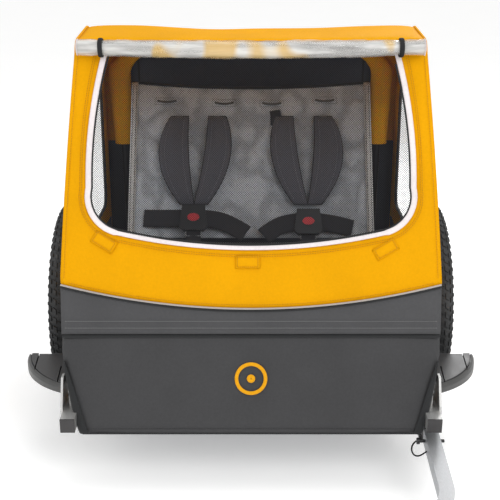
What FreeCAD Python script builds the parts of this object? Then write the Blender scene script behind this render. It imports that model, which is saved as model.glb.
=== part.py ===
import FreeCAD, Part
import math
import os
import Sketcher
from FreeCAD import Placement, Rotation, Vector

# Child bicycle trailer. +X is the tow arm's side, +Y points to the rear, +Z up, millimetres.
# The origin is at floor level, midway between the wheels and between the hitch and the rear cover.

CELLS = {
    # chassis
    "rail_size": 25.4, "rail_wall": 1.6, "rail_half_track": 322.0, "rail_height": 130.0,
    "rail_front": 3.0, "rail_rear": 737.0, "cap_length": 3.0, "plug_length": 12.0,
    "front_bar_station": 92.0, "rear_bar_station": 700.0,
    "pan_thickness": 4.0, "pan_width": 590.0, "pan_front": 52.0, "pan_rear": 676.0,
    # wheels
    "wheel_half_track": 377.0, "wheel_station": 438.0, "wheel_radius": 200.0,
    "tyre_width": 44.0, "rim_radius": 160.0, "axle_radius": 6.0, "running_gap": 0.05,
    "spoke_count": 20.0, "spoke_radius": 1.0, "button_radius": 4.0,
    # body profile in side view
    "panel_foot_station": 20.0, "panel_foot_height": 105.0,
    "cover_foot_station": 76.0, "cover_foot_height": 271.0,
    "roof_front_station": 284.0, "roof_front_height": 764.0,
    "crest_station": 420.0, "crest_height": 773.0,
    "roof_rear_station": 630.0, "roof_rear_height": 715.0,
    "tail_station": 725.0, "tail_height": 180.0, "rear_end": 731.0, "rear_foot_height": 146.0,
    "cloth": 2.0, "foot_half_width": 332.0, "roof_half_width": 316.0,
    # folding hoops
    "hoop_radius": 10.0, "hoop_wall": 1.5, "hoop_bend": 62.0, "pivot_height": 165.0,
    "front_pivot_station": 68.0, "front_hoop_half": 311.0, "front_hoop_top_half": 302.0,
    "front_hoop_length": 626.8, "front_hoop_lean": 21.04,
    "rear_pivot_station": 700.0, "rear_hoop_half": 281.0, "rear_hoop_length": 541.0,
    "rear_hoop_lean": 8.6, "pivot_pin_radius": 4.0, "hoop_side_gap": 0.8, "ear_thickness": 4.0,
    "bracket_length": 30.0,
    # seat
    "seat_width": 500.0, "seat_front": 217.0, "seat_rear": 430.0, "seat_top": 335.0,
    "cushion_thickness": 48.0, "back_foot_station": 380.0, "back_foot_height": 350.0,
    "back_length": 339.0, "back_lean": 32.28, "back_thickness": 12.0,
    "button_half": 12.0, "button_rise": 8.0, "buckle_width": 56.0, "buckle_height": 52.0, "buckle_thickness": 18.0,
    "button_depth": 8.0, "strap_length": 196.0, "strap_width": 38.0, "strap_thickness": 4.0,
    "pad_thickness": 14.0,
    # rolled rain cover
    "roll_radius": 17.0, "roll_length": 630.0, "roll_station": 252.5, "roll_height": 752.7,
    "loop_half_track": 268.0, "loop_radius": 1.5,
    # tow arm
    "arm_size": 25.4, "arm_slope": 5.9, "arm_root_station": 36.0, "arm_height": 92.5,
    "arm_pivot_station": 54.0, "arm_straight": 175.0, "arm_reach": 474.0, "arm_turn": 22.0,
    "arm_bend": 90.0, "flex_radius": 11.5, "flex_length": 84.0, "swivel_pin_radius": 5.0,
    "lock_pin_radius": 3.0, "lock_pin_station": 18.0, "axle_bore_radius": 5.2,
    "axle_plate_thickness": 5.0,
}

doc = FreeCAD.newDocument("trailer")
sheet = doc.addObject("Spreadsheet::Sheet", "Dims")
for row, (alias, value) in enumerate(CELLS.items(), start=1):
    sheet.set(f"A{row}", alias)
    sheet.set(f"B{row}", str(value))
    sheet.setAlias(f"B{row}", alias)
doc.recompute()

PARTS = []
SIDES = {"left": -1, "right": 1}


class Dimensions:
    """Reads a driving dimension from the sheet by its alias."""

    def __getattr__(self, alias):
        return float(sheet.get(alias))


dim = Dimensions()


def place(x=0.0, y=0.0, z=0.0, axis=(0, 0, 1), angle=0.0):
    """A placement at a point, turned about an axis by degrees."""
    return Placement(Vector(x, y, z), Rotation(Vector(*axis), angle))


def part(item, label, placement=None):
    """Names an object as a sub-part and puts it in place."""
    item.Label = label
    if placement is not None:
        item.Placement = placement
    PARTS.append(item)
    return item


def new_body(label, placement=None):
    return part(doc.addObject("PartDesign::Body", label), label, placement or Placement())


def new_sketch(body, role, name, offset=None):
    """A sketch attached to one of its own body's origin planes."""
    item = body.newObject("Sketcher::SketchObject", name)
    support = next(f for f in body.Origin.OriginFeatures if f.Role == role)
    item.AttachmentSupport = [(support, "")]
    item.MapMode = "FlatFace"
    if offset is not None:
        item.AttachmentOffset = offset
    return item


def add_rectangle(item, width, height):
    """A rectangle about the sketch's origin. width and height are expressions on the sheet."""
    start = item.GeometryCount
    corners = [Vector(-5, -5, 0), Vector(5, -5, 0), Vector(5, 5, 0), Vector(-5, 5, 0)]
    for n in range(4):
        item.addGeometry(Part.LineSegment(corners[n], corners[(n + 1) % 4]), False)
    for n in range(4):
        item.addConstraint(Sketcher.Constraint("Coincident", start + n, 2, start + (n + 1) % 4, 1))
    for n, kind in enumerate(("Horizontal", "Vertical", "Horizontal", "Vertical")):
        item.addConstraint(Sketcher.Constraint(kind, start + n))
    item.addConstraint(Sketcher.Constraint("Symmetric", start, 1, start + 1, 2, -1, 1))
    for n, size in ((0, width), (1, height)):
        index = item.addConstraint(
            Sketcher.Constraint("Distance" + "XY"[n], start + n, 1, start + n, 2, 10.0))
        item.setExpression(f"Constraints[{index}]", size)


def add_circle(item, radius, x=0.0, y=0.0):
    """A circle whose radius is an expression on the sheet."""
    index = item.addGeometry(Part.Circle(Vector(x, y, 0), Vector(0, 0, 1), 3.0), False)
    number = item.addConstraint(Sketcher.Constraint("Radius", index, 3.0))
    item.addConstraint(Sketcher.Constraint("DistanceX", -1, 1, index, 3, x))
    item.addConstraint(Sketcher.Constraint("DistanceY", -1, 1, index, 3, y))
    item.setExpression(f"Constraints[{number}]", radius)


def add_outline(item, corners):
    """A closed outline. A corner is (x, y), or (x, y, mx, my) where an arc through m leads to it."""
    last = corners[-1]
    for corner in corners:
        a, b = Vector(last[0], last[1], 0), Vector(corner[0], corner[1], 0)
        if len(corner) == 4:
            arc = Part.Arc(a, Vector(corner[2], corner[3], 0), b)
            item.addGeometry(arc, False)
        else:
            item.addGeometry(Part.LineSegment(a, b), False)
        last = corner


def pad(body, profile, length, name="Pad", middle=True, reverse=False):
    item = body.newObject("PartDesign::Pad", name)
    item.Profile = profile
    item.setExpression("Length", length)
    item.Midplane = middle
    item.Reversed = reverse
    return item


def pocket(body, profile, length, name="Pocket", middle=True, reverse=False):
    item = body.newObject("PartDesign::Pocket", name)
    item.Profile = profile
    item.setExpression("Length", length)
    item.Midplane = middle
    item.Reversed = reverse
    return item


def plate(label, role, outline, thickness, placement, holes=(), middle=True, reverse=False):
    """A flat plate: an outline, padded, with round or shaped holes."""
    body = new_body(label, placement)
    face = new_sketch(body, role, label + "_outline")
    add_outline(face, outline)
    for hole in holes:
        if isinstance(hole, dict):
            add_circle(face, hole["radius"], hole["x"], hole["y"])
        else:
            add_outline(face, hole)
    pad(body, face, thickness, middle=middle, reverse=reverse)
    return body


def cylinder(name, radius, length, placement):
    item = doc.addObject("Part::Cylinder", name)
    item.setExpression("Radius", radius)
    item.setExpression("Height", length)
    item.Placement = placement
    return item


def box(name, size, placement):
    item = doc.addObject("Part::Box", name)
    for prop, value in zip(("Length", "Width", "Height"), size):
        item.setExpression(prop, value)
    item.Placement = placement
    return item


def fuse(name, shapes):
    item = doc.addObject("Part::MultiFuse", name)
    item.Shapes = shapes
    return item


def cut(name, base, tool):
    item = doc.addObject("Part::Cut", name)
    item.Base = base
    item.Tool = tool
    return item


def group(label, members):
    """Identical pieces kept together as separate solids."""
    item = doc.addObject("Part::Compound", label)
    item.Links = members
    return part(item, label)


def join(label, members):
    """Sub-parts of the two sides kept together in one group."""
    for member in members:
        PARTS.remove(member)
        member.Label = member.Name + "_solid"
    return group(label, members)


def along_x(x, y, z):
    """Placement of a cylinder that starts at a point and runs along +X."""
    return place(x, y, z, (0, 1, 0), 90)


# ---- places worked out from the sheet --------------------------------------------------------

COVER = math.atan2(dim.roof_front_height - dim.cover_foot_height,
                   dim.roof_front_station - dim.cover_foot_station)
COVER_LENGTH = math.hypot(dim.roof_front_height - dim.cover_foot_height,
                          dim.roof_front_station - dim.cover_foot_station)
COVER_PLACE = place(0, dim.cover_foot_station, dim.cover_foot_height, (1, 0, 0), math.degrees(COVER))
RAIL_TOP = dim.rail_height + dim.rail_size / 2


def chassis():
    for side, sign in SIDES.items():
        middle = (dim.rail_front + dim.rail_rear) / 2
        rail = new_body(side + "_rail", place(sign * dim.rail_half_track, middle, dim.rail_height))
        face = new_sketch(rail, "XZ_Plane", side + "_rail_section")
        add_rectangle(face, "Dims.rail_size", "Dims.rail_size")
        add_rectangle(face, "Dims.rail_size - 2 * Dims.rail_wall", "Dims.rail_size - 2 * Dims.rail_wall")
        pad(rail, face, "Dims.rail_rear - Dims.rail_front")
    for end, station in (("front", dim.front_bar_station), ("rear", dim.rear_bar_station)):
        bar = new_body(end + "_floor_crossbar", place(0, station, dim.rail_height))
        face = new_sketch(bar, "YZ_Plane", end + "_bar_section")
        add_rectangle(face, "Dims.rail_size", "Dims.rail_size")
        add_rectangle(face, "Dims.rail_size - 2 * Dims.rail_wall", "Dims.rail_size - 2 * Dims.rail_wall")
        pad(bar, face, "2 * Dims.rail_half_track - Dims.rail_size")
    for end, station, toward in (("front", dim.rail_front, -1), ("rear", dim.rail_rear, 1)):
        caps = []
        for side, sign in SIDES.items():
            edge = station + (toward - 1) / 2 * dim.cap_length
            head = box(f"{end}_{side}_cap_head", ("Dims.rail_size", "Dims.cap_length", "Dims.rail_size"),
                       place(sign * dim.rail_half_track - dim.rail_size / 2, edge,
                             dim.rail_height - dim.rail_size / 2))
            inner = dim.rail_size - 2 * dim.rail_wall
            plug_edge = station - (toward + 1) / 2 * dim.plug_length
            plug = box(f"{end}_{side}_cap_plug",
                       ("Dims.rail_size - 2 * Dims.rail_wall", "Dims.plug_length",
                        "Dims.rail_size - 2 * Dims.rail_wall"),
                       place(sign * dim.rail_half_track - inner / 2, plug_edge,
                             dim.rail_height - inner / 2))
            caps.append(fuse(f"{end}_{side}_cap", [head, plug]))
        group(end + "_end_caps", caps)
    half = dim.pan_width / 2
    plate("floor_pan", "XY_Plane",
          [(-half, dim.pan_front), (half, dim.pan_front), (half, dim.pan_rear), (-half, dim.pan_rear)],
          "Dims.pan_thickness", place(0, 0, RAIL_TOP), middle=False)
    front_panel()
    seat_frame()


def front_panel():
    """The sloping lower front panel between the rails, wider above them."""
    rise = dim.cover_foot_height - dim.panel_foot_height
    run = dim.cover_foot_station - dim.panel_foot_station
    tilt = math.degrees(math.atan2(rise, run))
    length = math.hypot(rise, run)
    right = [(297, 0), (306, 43), (332, 138), (334, length - 2)]
    outline = right + [(-x, y) for x, y in reversed(right)]
    plate("front_panel", "XY_Plane", outline, "1.5 * Dims.cloth",
          place(0, dim.panel_foot_station, dim.panel_foot_height, (1, 0, 0), tilt),
          middle=False, reverse=True)


def seat_frame():
    """A bent sheet that stands on the floor pan and carries the cushion."""
    foot = RAIL_TOP + dim.pan_thickness
    top = dim.seat_top - dim.cushion_thickness
    skin = 4.0
    front, rear = dim.seat_front + 8, dim.seat_rear - 8
    plate("seat_frame", "YZ_Plane",
          [(front, foot), (front + skin, foot), (front + skin, top - skin), (rear - skin, top - skin),
           (rear - skin, foot), (rear, foot), (rear, top), (front, top)],
          "Dims.seat_width - 20", Placement())
    front, rear, high = dim.seat_front, dim.seat_rear, dim.seat_top
    soft = 16.0
    bulge = soft * (1 - math.sin(math.pi / 4))
    plate("seat_cushion", "YZ_Plane",
          [(front, top), (rear, top), (rear, high - soft),
           (rear - soft, high, rear - bulge, high - bulge), (front + soft, high),
           (front, high - soft, front + bulge, high - bulge)],
          "Dims.seat_width", Placement())


def wheel_mounts():
    """Axle plates on the rails and the axles fixed in them."""
    rail_face = dim.rail_half_track + dim.rail_size / 2
    brackets = []
    axles = []
    for side, sign in SIDES.items():
        y, z = dim.wheel_station, dim.wheel_radius
        outline = [(y - 44, 119), (y + 44, 119), (y + 44, 150), (y + 24, z),
                   (y - 24, z, y, z + 24), (y - 44, 150)]
        brackets.append(plate(side + "_axle_bracket", "YZ_Plane", outline,
                              "1.25 * Dims.ear_thickness", place(sign * (rail_face + 2.5), 0, 0),
                              [{"radius": "Dims.axle_radius", "x": y, "y": z}]))
        inner = rail_face - 3
        outer = dim.wheel_half_track + 18
        start = inner if sign > 0 else -outer
        rod = cylinder(side + "_axle_rod", "Dims.axle_radius",
                       "Dims.wheel_half_track + 18 - (Dims.rail_half_track + Dims.rail_size / 2 - 3)",
                       along_x(start, y, z))
        depth = 30.0
        hole_start = outer - depth if sign > 0 else -outer
        hole = cylinder(side + "_axle_bore", "Dims.button_radius + Dims.running_gap", str(depth),
                        along_x(hole_start, y, z))
        axles.append(cut(side + "_axle", rod, hole))
        length = 20.0
        proud = 4.0
        button_start = outer - length + proud if sign > 0 else -outer - proud
        part(cylinder(side + "_release_button", "Dims.button_radius", str(length), Placement()),
             side + "_release_button", along_x(button_start, y, z))
    join("axle_brackets", brackets)
    group("axles", axles)


def wheels():
    for side, sign in SIDES.items():
        home = place(sign * dim.wheel_half_track, dim.wheel_station, dim.wheel_radius)
        revolved(side + "_tyre", home, tyre_section())
        rim = dim.rim_radius
        revolved(side + "_rim", home,
                 [(-12, rim), (12, rim), (12, rim - 5), (8, rim - 14), (-8, rim - 14), (-12, rim - 5)])
        bore = dim.axle_radius + dim.running_gap
        revolved(side + "_hub", home,
                 [(-20, bore), (-20, 12), (-17, 12), (-17, 22), (-14, 22), (-14, 10), (10, 10),
                  (10, 22), (13, 22), (13, 12), (15, 12), (15, bore)])
        spokes(side, home)


def tyre_section():
    """Tyre cross-section from its seat on the rim, as (across, radial) points."""
    half = dim.tyre_width / 2
    centre = dim.wheel_radius - half
    depth = centre - dim.rim_radius
    seat = math.sqrt(half ** 2 - depth ** 2)
    return [(seat, dim.rim_radius), (-seat, dim.rim_radius, 0, dim.wheel_radius)]


def revolved(label, placement, section):
    """A solid turned about its own X axis."""
    body = new_body(label, placement)
    face = new_sketch(body, "XY_Plane", label + "_section")
    add_outline(face, section)
    turn = body.newObject("PartDesign::Revolution", label + "_turn")
    turn.Profile = face
    turn.ReferenceAxis = (face, ["H_Axis"])
    turn.Angle = 360
    return body


def spokes(side, home):
    """Straight-laced spokes from the hub's flanges to the rim."""
    count = int(dim.spoke_count)
    wires = []
    for n in range(count):
        angle = 2 * math.pi * n / count
        flange = -15.5 if n % 2 else 11.5
        lead = math.radians(22 if n % 4 < 2 else -22)
        start = Vector(flange, 18 * math.cos(angle + lead), 18 * math.sin(angle + lead))
        rim = dim.rim_radius - 13
        end = Vector(0, rim * math.cos(angle), rim * math.sin(angle))
        run = end - start
        spoke = doc.addObject("Part::Cylinder", f"{side}_spoke_{n}")
        spoke.setExpression("Radius", "Dims.spoke_radius")
        spoke.Height = run.Length
        spoke.Placement = home.multiply(Placement(start, Rotation(Vector(0, 0, 1), run)))
        wires.append(spoke)
    group(side + "_spokes", wires)


def bumpers():
    """Wheel guards ahead of the wheels, each on an upright plate and an angle on the rail."""
    top, height = 165.0, 24.0
    inner, front, rear = 340.0, 91.0, 226.0
    brackets = []
    for side, sign in SIDES.items():
        outline = [(sign * inner, front), (sign * inner, rear), (sign * 435, rear),
                   (sign * (inner + 4), front, sign * 409, 149)]
        slots = [slot_outline(sign, 388, 214, 414, 219), slot_outline(sign, 354, 130, 359, 168)]
        plate(side + "_bumper", "XY_Plane", outline, str(height),
                     place(0, 0, top - height), slots, middle=False)
        start = dim.rail_half_track + dim.rail_size / 2
        under = top - height
        angle = [(start, under - 22), (start + 4, under - 22), (start + 4, under - 5),
                 (start + 54, under - 5), (start + 54, under), (start, under)]
        flange = plate(side + "_bumper_flange", "XZ_Plane",
                       [(sign * x, z) for x, z in angle], "64", place(0, 178, 0))
        upright = plate(side + "_bumper_upright", "YZ_Plane",
                        [(34, 118), (145, 118), (145, 150), (74, 196), (58, 196), (34, 150)],
                        "Dims.ear_thickness", place(sign * (start + dim.ear_thickness / 2 + 0.2), 0, 0))
        brackets += [flange, upright]
    join("bumper_brackets", brackets)


def slot_outline(sign, x0, y0, x1, y1):
    return [(sign * x0, y0), (sign * x1, y0), (sign * x1, y1), (sign * x0, y1)]


def hinge_brackets():
    """Clevis brackets for the two hoops and the pins through them."""
    gap = dim.hoop_radius + dim.hoop_side_gap
    ear = dim.ear_thickness
    pins = []
    for end, half, station in (("front", dim.front_hoop_half, dim.front_pivot_station),
                               ("rear", dim.rear_hoop_half, dim.rear_pivot_station)):
        brackets = []
        for side, sign in SIDES.items():
            rise = dim.pivot_height + 13 - RAIL_TOP
            outline = [(-gap - ear, 0), (gap + ear, 0), (gap + ear, rise), (gap, rise), (gap, 3),
                       (-gap, 3), (-gap, rise), (-gap - ear, rise)]
            label = f"{side}_{end}_hinge_bracket"
            body = plate(label, "XZ_Plane", outline, "Dims.bracket_length",
                         place(sign * half, station, RAIL_TOP))
            hole = new_sketch(body, "YZ_Plane", label + "_hole")
            add_circle(hole, "Dims.pivot_pin_radius", 0, dim.pivot_height - RAIL_TOP)
            pocket(body, hole, "100", label + "_bore")
            brackets.append(body)
            reach = gap + ear
            shank = cylinder(f"{label}_shank", "Dims.pivot_pin_radius", str(2 * reach + 2),
                             along_x(sign * half - reach - 1, station, dim.pivot_height))
            heads = []
            for n, x in enumerate((sign * half - reach - 3, sign * half + reach)):
                heads.append(cylinder(f"{label}_head_{n}", "1.7 * Dims.pivot_pin_radius", "3",
                                      along_x(x, station, dim.pivot_height)))
            pins.append(fuse(f"{label}_pin", [shank] + heads))
        join(end + "_hinge_brackets", brackets)
    group("hinge_pins", pins)


def hoop(label, half, top_half, length, placement):
    """An inverted U of round tube with a cross hole in each foot for its hinge pin."""
    body = new_body(label, placement)
    path = new_sketch(body, "XZ_Plane", label + "_path")
    below = 12.0
    bend = dim.hoop_bend
    lean = (half - top_half) / length
    foot = half + lean * below
    knee = half - lean * (length - bend)
    corner = bend * (1 - math.sin(math.pi / 4))
    for sign in (-1, 1):
        path.addGeometry(Part.LineSegment(Vector(sign * foot, -below, 0),
                                          Vector(sign * knee, length - bend, 0)), False)
        path.addGeometry(Part.Arc(Vector(sign * knee, length - bend, 0),
                                  Vector(sign * (knee - corner), length - corner, 0),
                                  Vector(sign * (knee - bend), length, 0)), False)
    path.addGeometry(Part.LineSegment(Vector(bend - knee, length, 0),
                                      Vector(knee - bend, length, 0)), False)
    section = new_sketch(body, "XY_Plane", label + "_section", place(-foot, 0, -below))
    add_circle(section, "Dims.hoop_radius")
    add_circle(section, "Dims.hoop_radius - Dims.hoop_wall")
    tube = body.newObject("PartDesign::AdditivePipe", label + "_tube")
    tube.Profile = section
    tube.Spine = (path, [])
    hole = new_sketch(body, "YZ_Plane", label + "_hole")
    add_circle(hole, "Dims.pivot_pin_radius + Dims.running_gap")
    pocket(body, hole, "2 * Dims.front_hoop_half + 100", label + "_bore")


def hoops():
    hoop("front_hoop", dim.front_hoop_half, dim.front_hoop_top_half, dim.front_hoop_length,
         place(0, dim.front_pivot_station, dim.pivot_height, (1, 0, 0), -dim.front_hoop_lean))
    hoop("rear_hoop", dim.rear_hoop_half, dim.rear_hoop_half, dim.rear_hoop_length,
         place(0, dim.rear_pivot_station, dim.pivot_height, (1, 0, 0), dim.rear_hoop_lean))


def window_outline(grow):
    """The front window's opening in the cover's plane, grown outward by a margin."""
    top = (262 + grow, 512 + grow)
    side = (290.5 + grow, 262)
    base = (235, 180 - grow)
    right = [side + (287 + grow, 370), base + (279 + 0.7 * grow, 207 - 0.7 * grow)]
    return [top] + right + [(-base[0], base[1], 0, 154 - grow),
                            (-side[0], side[1], -279 - 0.7 * grow, 207 - 0.7 * grow),
                            (-top[0], top[1], -287 - grow, 370)]


def hem_curve(drop):
    """The curved hem between the yellow cover and the grey band: its two ends and its middle."""
    return (337, 88 - drop), (0, 46 - drop)


def front_covers():
    end, low = hem_curve(0)
    top = COVER_LENGTH - 2
    plate("front_cover", "XY_Plane",
          [(316, top), end, (-end[0], end[1], low[0], low[1]), (-316, top)],
          "Dims.cloth", COVER_PLACE, [window_outline(4)], middle=False)
    end, low = hem_curve(0.5)
    plate("grey_band", "XY_Plane",
          [(334, 1), (-334, 1), (-end[0], end[1]), end + low],
          "Dims.cloth", COVER_PLACE, middle=False)
    outer = COVER_PLACE.multiply(place(0, 0, dim.cloth + 0.1))
    end, low = hem_curve(-3)
    foot, dip = hem_curve(3)
    plate("hem_piping", "XY_Plane",
          [end, (-end[0], end[1], low[0], low[1]), (-foot[0], foot[1]), foot + dip],
          "Dims.cloth", outer, middle=False)
    plate("window_piping", "XY_Plane", window_outline(5), "Dims.cloth", outer,
          [window_outline(-5)], middle=False)
    plate("front_mesh", "XY_Plane", window_outline(3.5), "Dims.cloth / 2", COVER_PLACE,
          middle=False)


def strip(points, thickness, inside):
    """A closed band along a polyline in side view. inside is +1 where its depth lies below."""
    lower = []
    for n, (y, z) in enumerate(points):
        a = points[max(n - 1, 0)]
        b = points[min(n + 1, len(points) - 1)]
        run = math.hypot(b[0] - a[0], b[1] - a[1])
        lower.append((y + inside * (b[1] - a[1]) / run * thickness,
                      z - inside * (b[0] - a[0]) / run * thickness))
    return points + lower[::-1]


def body_covers():
    roof = [(dim.roof_front_station, dim.roof_front_height), (dim.crest_station, dim.crest_height),
            (dim.roof_rear_station, dim.roof_rear_height)]
    plate("roof_panel", "YZ_Plane", strip(roof, dim.cloth, 1), "2 * Dims.roof_half_width", Placement())
    rear = [(dim.roof_rear_station + 1, dim.roof_rear_height - 4), (dim.tail_station, dim.tail_height),
            (dim.rear_end, dim.rear_foot_height)]
    plate("rear_cover", "YZ_Plane", strip(rear, dim.cloth, 1), "2 * Dims.roof_half_width", Placement())
    outline = [(66, 176), (93, 271), (294, 752), (420, 766), (620, 710), (713, 182), (716, 150)]
    window = side_window_outline(0)
    pane = side_window_outline(-0.5)
    tilt = math.degrees(math.atan2(dim.foot_half_width - dim.roof_half_width, 595))
    panes = []
    for side, sign in SIDES.items():
        home = place(sign * (dim.foot_half_width - 1), 0, dim.pivot_height, (0, 1, 0), -sign * tilt)
        lift = dim.pivot_height
        plate(side + "_side_cover", "YZ_Plane", [(y, z - lift) for y, z in outline],
              "Dims.cloth", home, [[shift_down(c, lift) for c in window]])
        panes.append(plate(side + "_side_window", "YZ_Plane", [shift_down(c, lift) for c in pane],
                           "Dims.cloth / 2", home))
    join("side_windows", panes)


def side_window_outline(grow):
    """The side window's opening in side view, grown outward by a margin."""
    g = grow
    return [(190 - g, 362, 195 - 0.7 * g, 351 - 0.7 * g), (276 - 0.9 * g, 590 + 0.4 * g),
            (318, 628 + g, 292 - 0.6 * g, 616 + 0.8 * g), (560, 628 + g),
            (592 + g, 600, 582 + 0.7 * g, 619 + 0.7 * g), (630 + g, 372),
            (610, 347 - g, 625 + 0.7 * g, 353 - 0.7 * g), (206, 347 - g)]


def shift_down(corner, lift):
    return tuple(v - lift if n % 2 else v for n, v in enumerate(corner))


def rain_cover():
    """The clear rain cover rolled up along the roof's front edge, held by two loops."""
    home = along_x(-dim.roll_length / 2, dim.roll_station, dim.roll_height)
    part(cylinder("rain_cover_roll", "Dims.roll_radius", "Dims.roll_length", home), "rain_cover_roll")
    loops = []
    for side, sign in SIDES.items():
        ring = doc.addObject("Part::Torus", side + "_roll_loop")
        ring.setExpression("Radius1", "Dims.roll_radius + Dims.loop_radius + 0.1")
        ring.setExpression("Radius2", "Dims.loop_radius")
        ring.Placement = along_x(sign * dim.loop_half_track, dim.roll_station, dim.roll_height)
        loops.append(ring)
    group("roll_loops", loops)


def back_place(x, up, out, turn=0.0):
    """A placement on the seat back's face: across, up the slope and out from it."""
    face = place(0, dim.back_foot_station, dim.back_foot_height, (1, 0, 0), 90 - dim.back_lean)
    return face.multiply(place(x, up, out, (0, 0, 1), turn))


def seat_back():
    half = dim.seat_width / 2
    plate("seat_back", "XY_Plane",
          [(-half, 0), (half, 0), (half, dim.back_length), (-half, dim.back_length)],
          "Dims.back_thickness", back_place(0, 0, 0), middle=False, reverse=True)
    seats = {"left": (-116.0, 36.0, (-148.0, -70.0)), "right": (116.0, 28.0, (70.0, 150.0))}
    pads = []
    straps = []
    for side, (middle, buckle_up, tops) in seats.items():
        for n, top in enumerate(tops):
            pads.append(shoulder_pad(f"{side}_shoulder_pad_{n}", middle, top))
        straps.append(box(side + "_waist_strap",
                          ("Dims.strap_length", "Dims.strap_width", "Dims.strap_thickness"),
                          back_place(middle - dim.strap_length / 2, buckle_up - dim.strap_width / 2, 6)))
        buckle(side, middle, buckle_up)
    join("shoulder_pads", pads)
    group("waist_straps", straps)


def shoulder_pad(label, middle, top):
    """A padded strap that bows outward between the buckle and its slot in the seat back."""
    away = 1 if top > middle else -1
    low, high = 82.0, 258.0
    rise = (low + high) / 2
    foot = middle + away * 14
    foot_half, top_half, bow, inner_bow = 14, 18, 74, 5
    inner = ((foot + top) / 2 - away * (foot_half + top_half) / 2) + away * inner_bow
    outline = [(foot - away * foot_half, low, inner, rise), (foot + away * foot_half, low),
               (top + away * top_half, high, middle + away * bow, rise), (top - away * top_half, high)]
    return plate(label, "XY_Plane", outline, "Dims.pad_thickness", back_place(0, 0, 4), middle=False)


def buckle(side, x, up):
    """A harness buckle with its oval push button."""
    home = back_place(x, up, 12)
    half, rise = dim.buckle_width / 2, dim.buckle_height / 2
    chamfer, taper = 8, 5
    body = plate(side + "_buckle", "XY_Plane",
                 [(-half, -rise + chamfer), (-half + chamfer, -rise), (half - chamfer, -rise),
                  (half, -rise + chamfer), (half - taper, rise), (-half + taper, rise)],
                 "Dims.buckle_thickness", home, middle=False)
    hole = new_sketch(body, "XY_Plane", side + "_buckle_hole", place(0, 0, dim.buckle_thickness))
    add_oval(hole, dim.running_gap)
    pocket(body, hole, "Dims.button_depth + 4", side + "_buckle_well", middle=False)
    button = new_body(side + "_buckle_button",
                      home.multiply(place(0, 0, dim.buckle_thickness + 2 - dim.button_depth)))
    face = new_sketch(button, "XY_Plane", side + "_button_outline")
    add_oval(face, 0.0)
    pad(button, face, "Dims.button_depth", middle=False)


def add_oval(item, gap):
    """The push button's oval outline, grown by a gap."""
    item.addGeometry(Part.Ellipse(Vector(0, 0, 0), dim.button_half + gap, dim.button_rise + gap), False)


def arm_place(x=0.0, y=0.0, z=0.0, axis=(0, 0, 1), angle=0.0):
    """A placement in the tow arm's own frame, which slopes down to the front."""
    root = place(dim.rail_half_track, dim.arm_root_station, dim.arm_height, (1, 0, 0), dim.arm_slope)
    return root.multiply(place(x, y, z, axis, angle))


def tow_arm():
    turn = math.radians(dim.arm_turn)
    setback = dim.arm_bend * math.tan(turn / 2)
    knee = Vector(0, -dim.arm_straight, 0)
    ahead = Vector(-math.sin(turn), -math.cos(turn), 0)
    end = knee + ahead * dim.arm_reach
    body = new_body("tow_arm", arm_place())
    path = new_sketch(body, "XY_Plane", "tow_arm_path")
    first = knee + Vector(0, setback, 0)
    last = knee + ahead * setback
    mid_turn = turn / 2
    inside = dim.arm_bend * (1 / math.cos(turn / 2) - 1)
    middle = knee + Vector(-math.cos(mid_turn), math.sin(mid_turn), 0) * inside
    path.addGeometry(Part.LineSegment(Vector(0, 0, 0), first), False)
    path.addGeometry(Part.Arc(first, middle, last), False)
    path.addGeometry(Part.LineSegment(last, end), False)
    section = new_sketch(body, "XZ_Plane", "tow_arm_section")
    add_rectangle(section, "Dims.arm_size", "Dims.arm_size")
    add_rectangle(section, "Dims.arm_size - 2 * Dims.rail_wall", "Dims.arm_size - 2 * Dims.rail_wall")
    tube = body.newObject("PartDesign::AdditivePipe", "tow_arm_tube")
    tube.Profile = section
    tube.Spine = (path, [])
    hole = new_sketch(body, "YZ_Plane", "tow_arm_hole")
    add_circle(hole, "Dims.lock_pin_radius + Dims.running_gap", -dim.lock_pin_station, 0)
    pocket(body, hole, "60", "tow_arm_bore")
    pin = fuse("lock_pin_body", [
        cylinder("lock_pin_shank", "Dims.lock_pin_radius", "44",
                 arm_place(-22, -dim.lock_pin_station, 0, (0, 1, 0), 90)),
        cylinder("lock_pin_head", "2 * Dims.lock_pin_radius", "5",
                 arm_place(-27, -dim.lock_pin_station, 0, (0, 1, 0), 90))])
    part(pin, "lock_pin")
    flex_home = arm_place(end.x, end.y, 0, (0, 0, 1), -dim.arm_turn)
    flex = cylinder("flex_connector", "Dims.flex_radius", "Dims.flex_length", Placement())
    part(flex, "flex_connector", flex_home.multiply(place(0, 0, 0, (1, 0, 0), 90)))
    hitch(flex_home.multVec(Vector(0, -dim.flex_length, 0)))
    tow_bracket()


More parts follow.
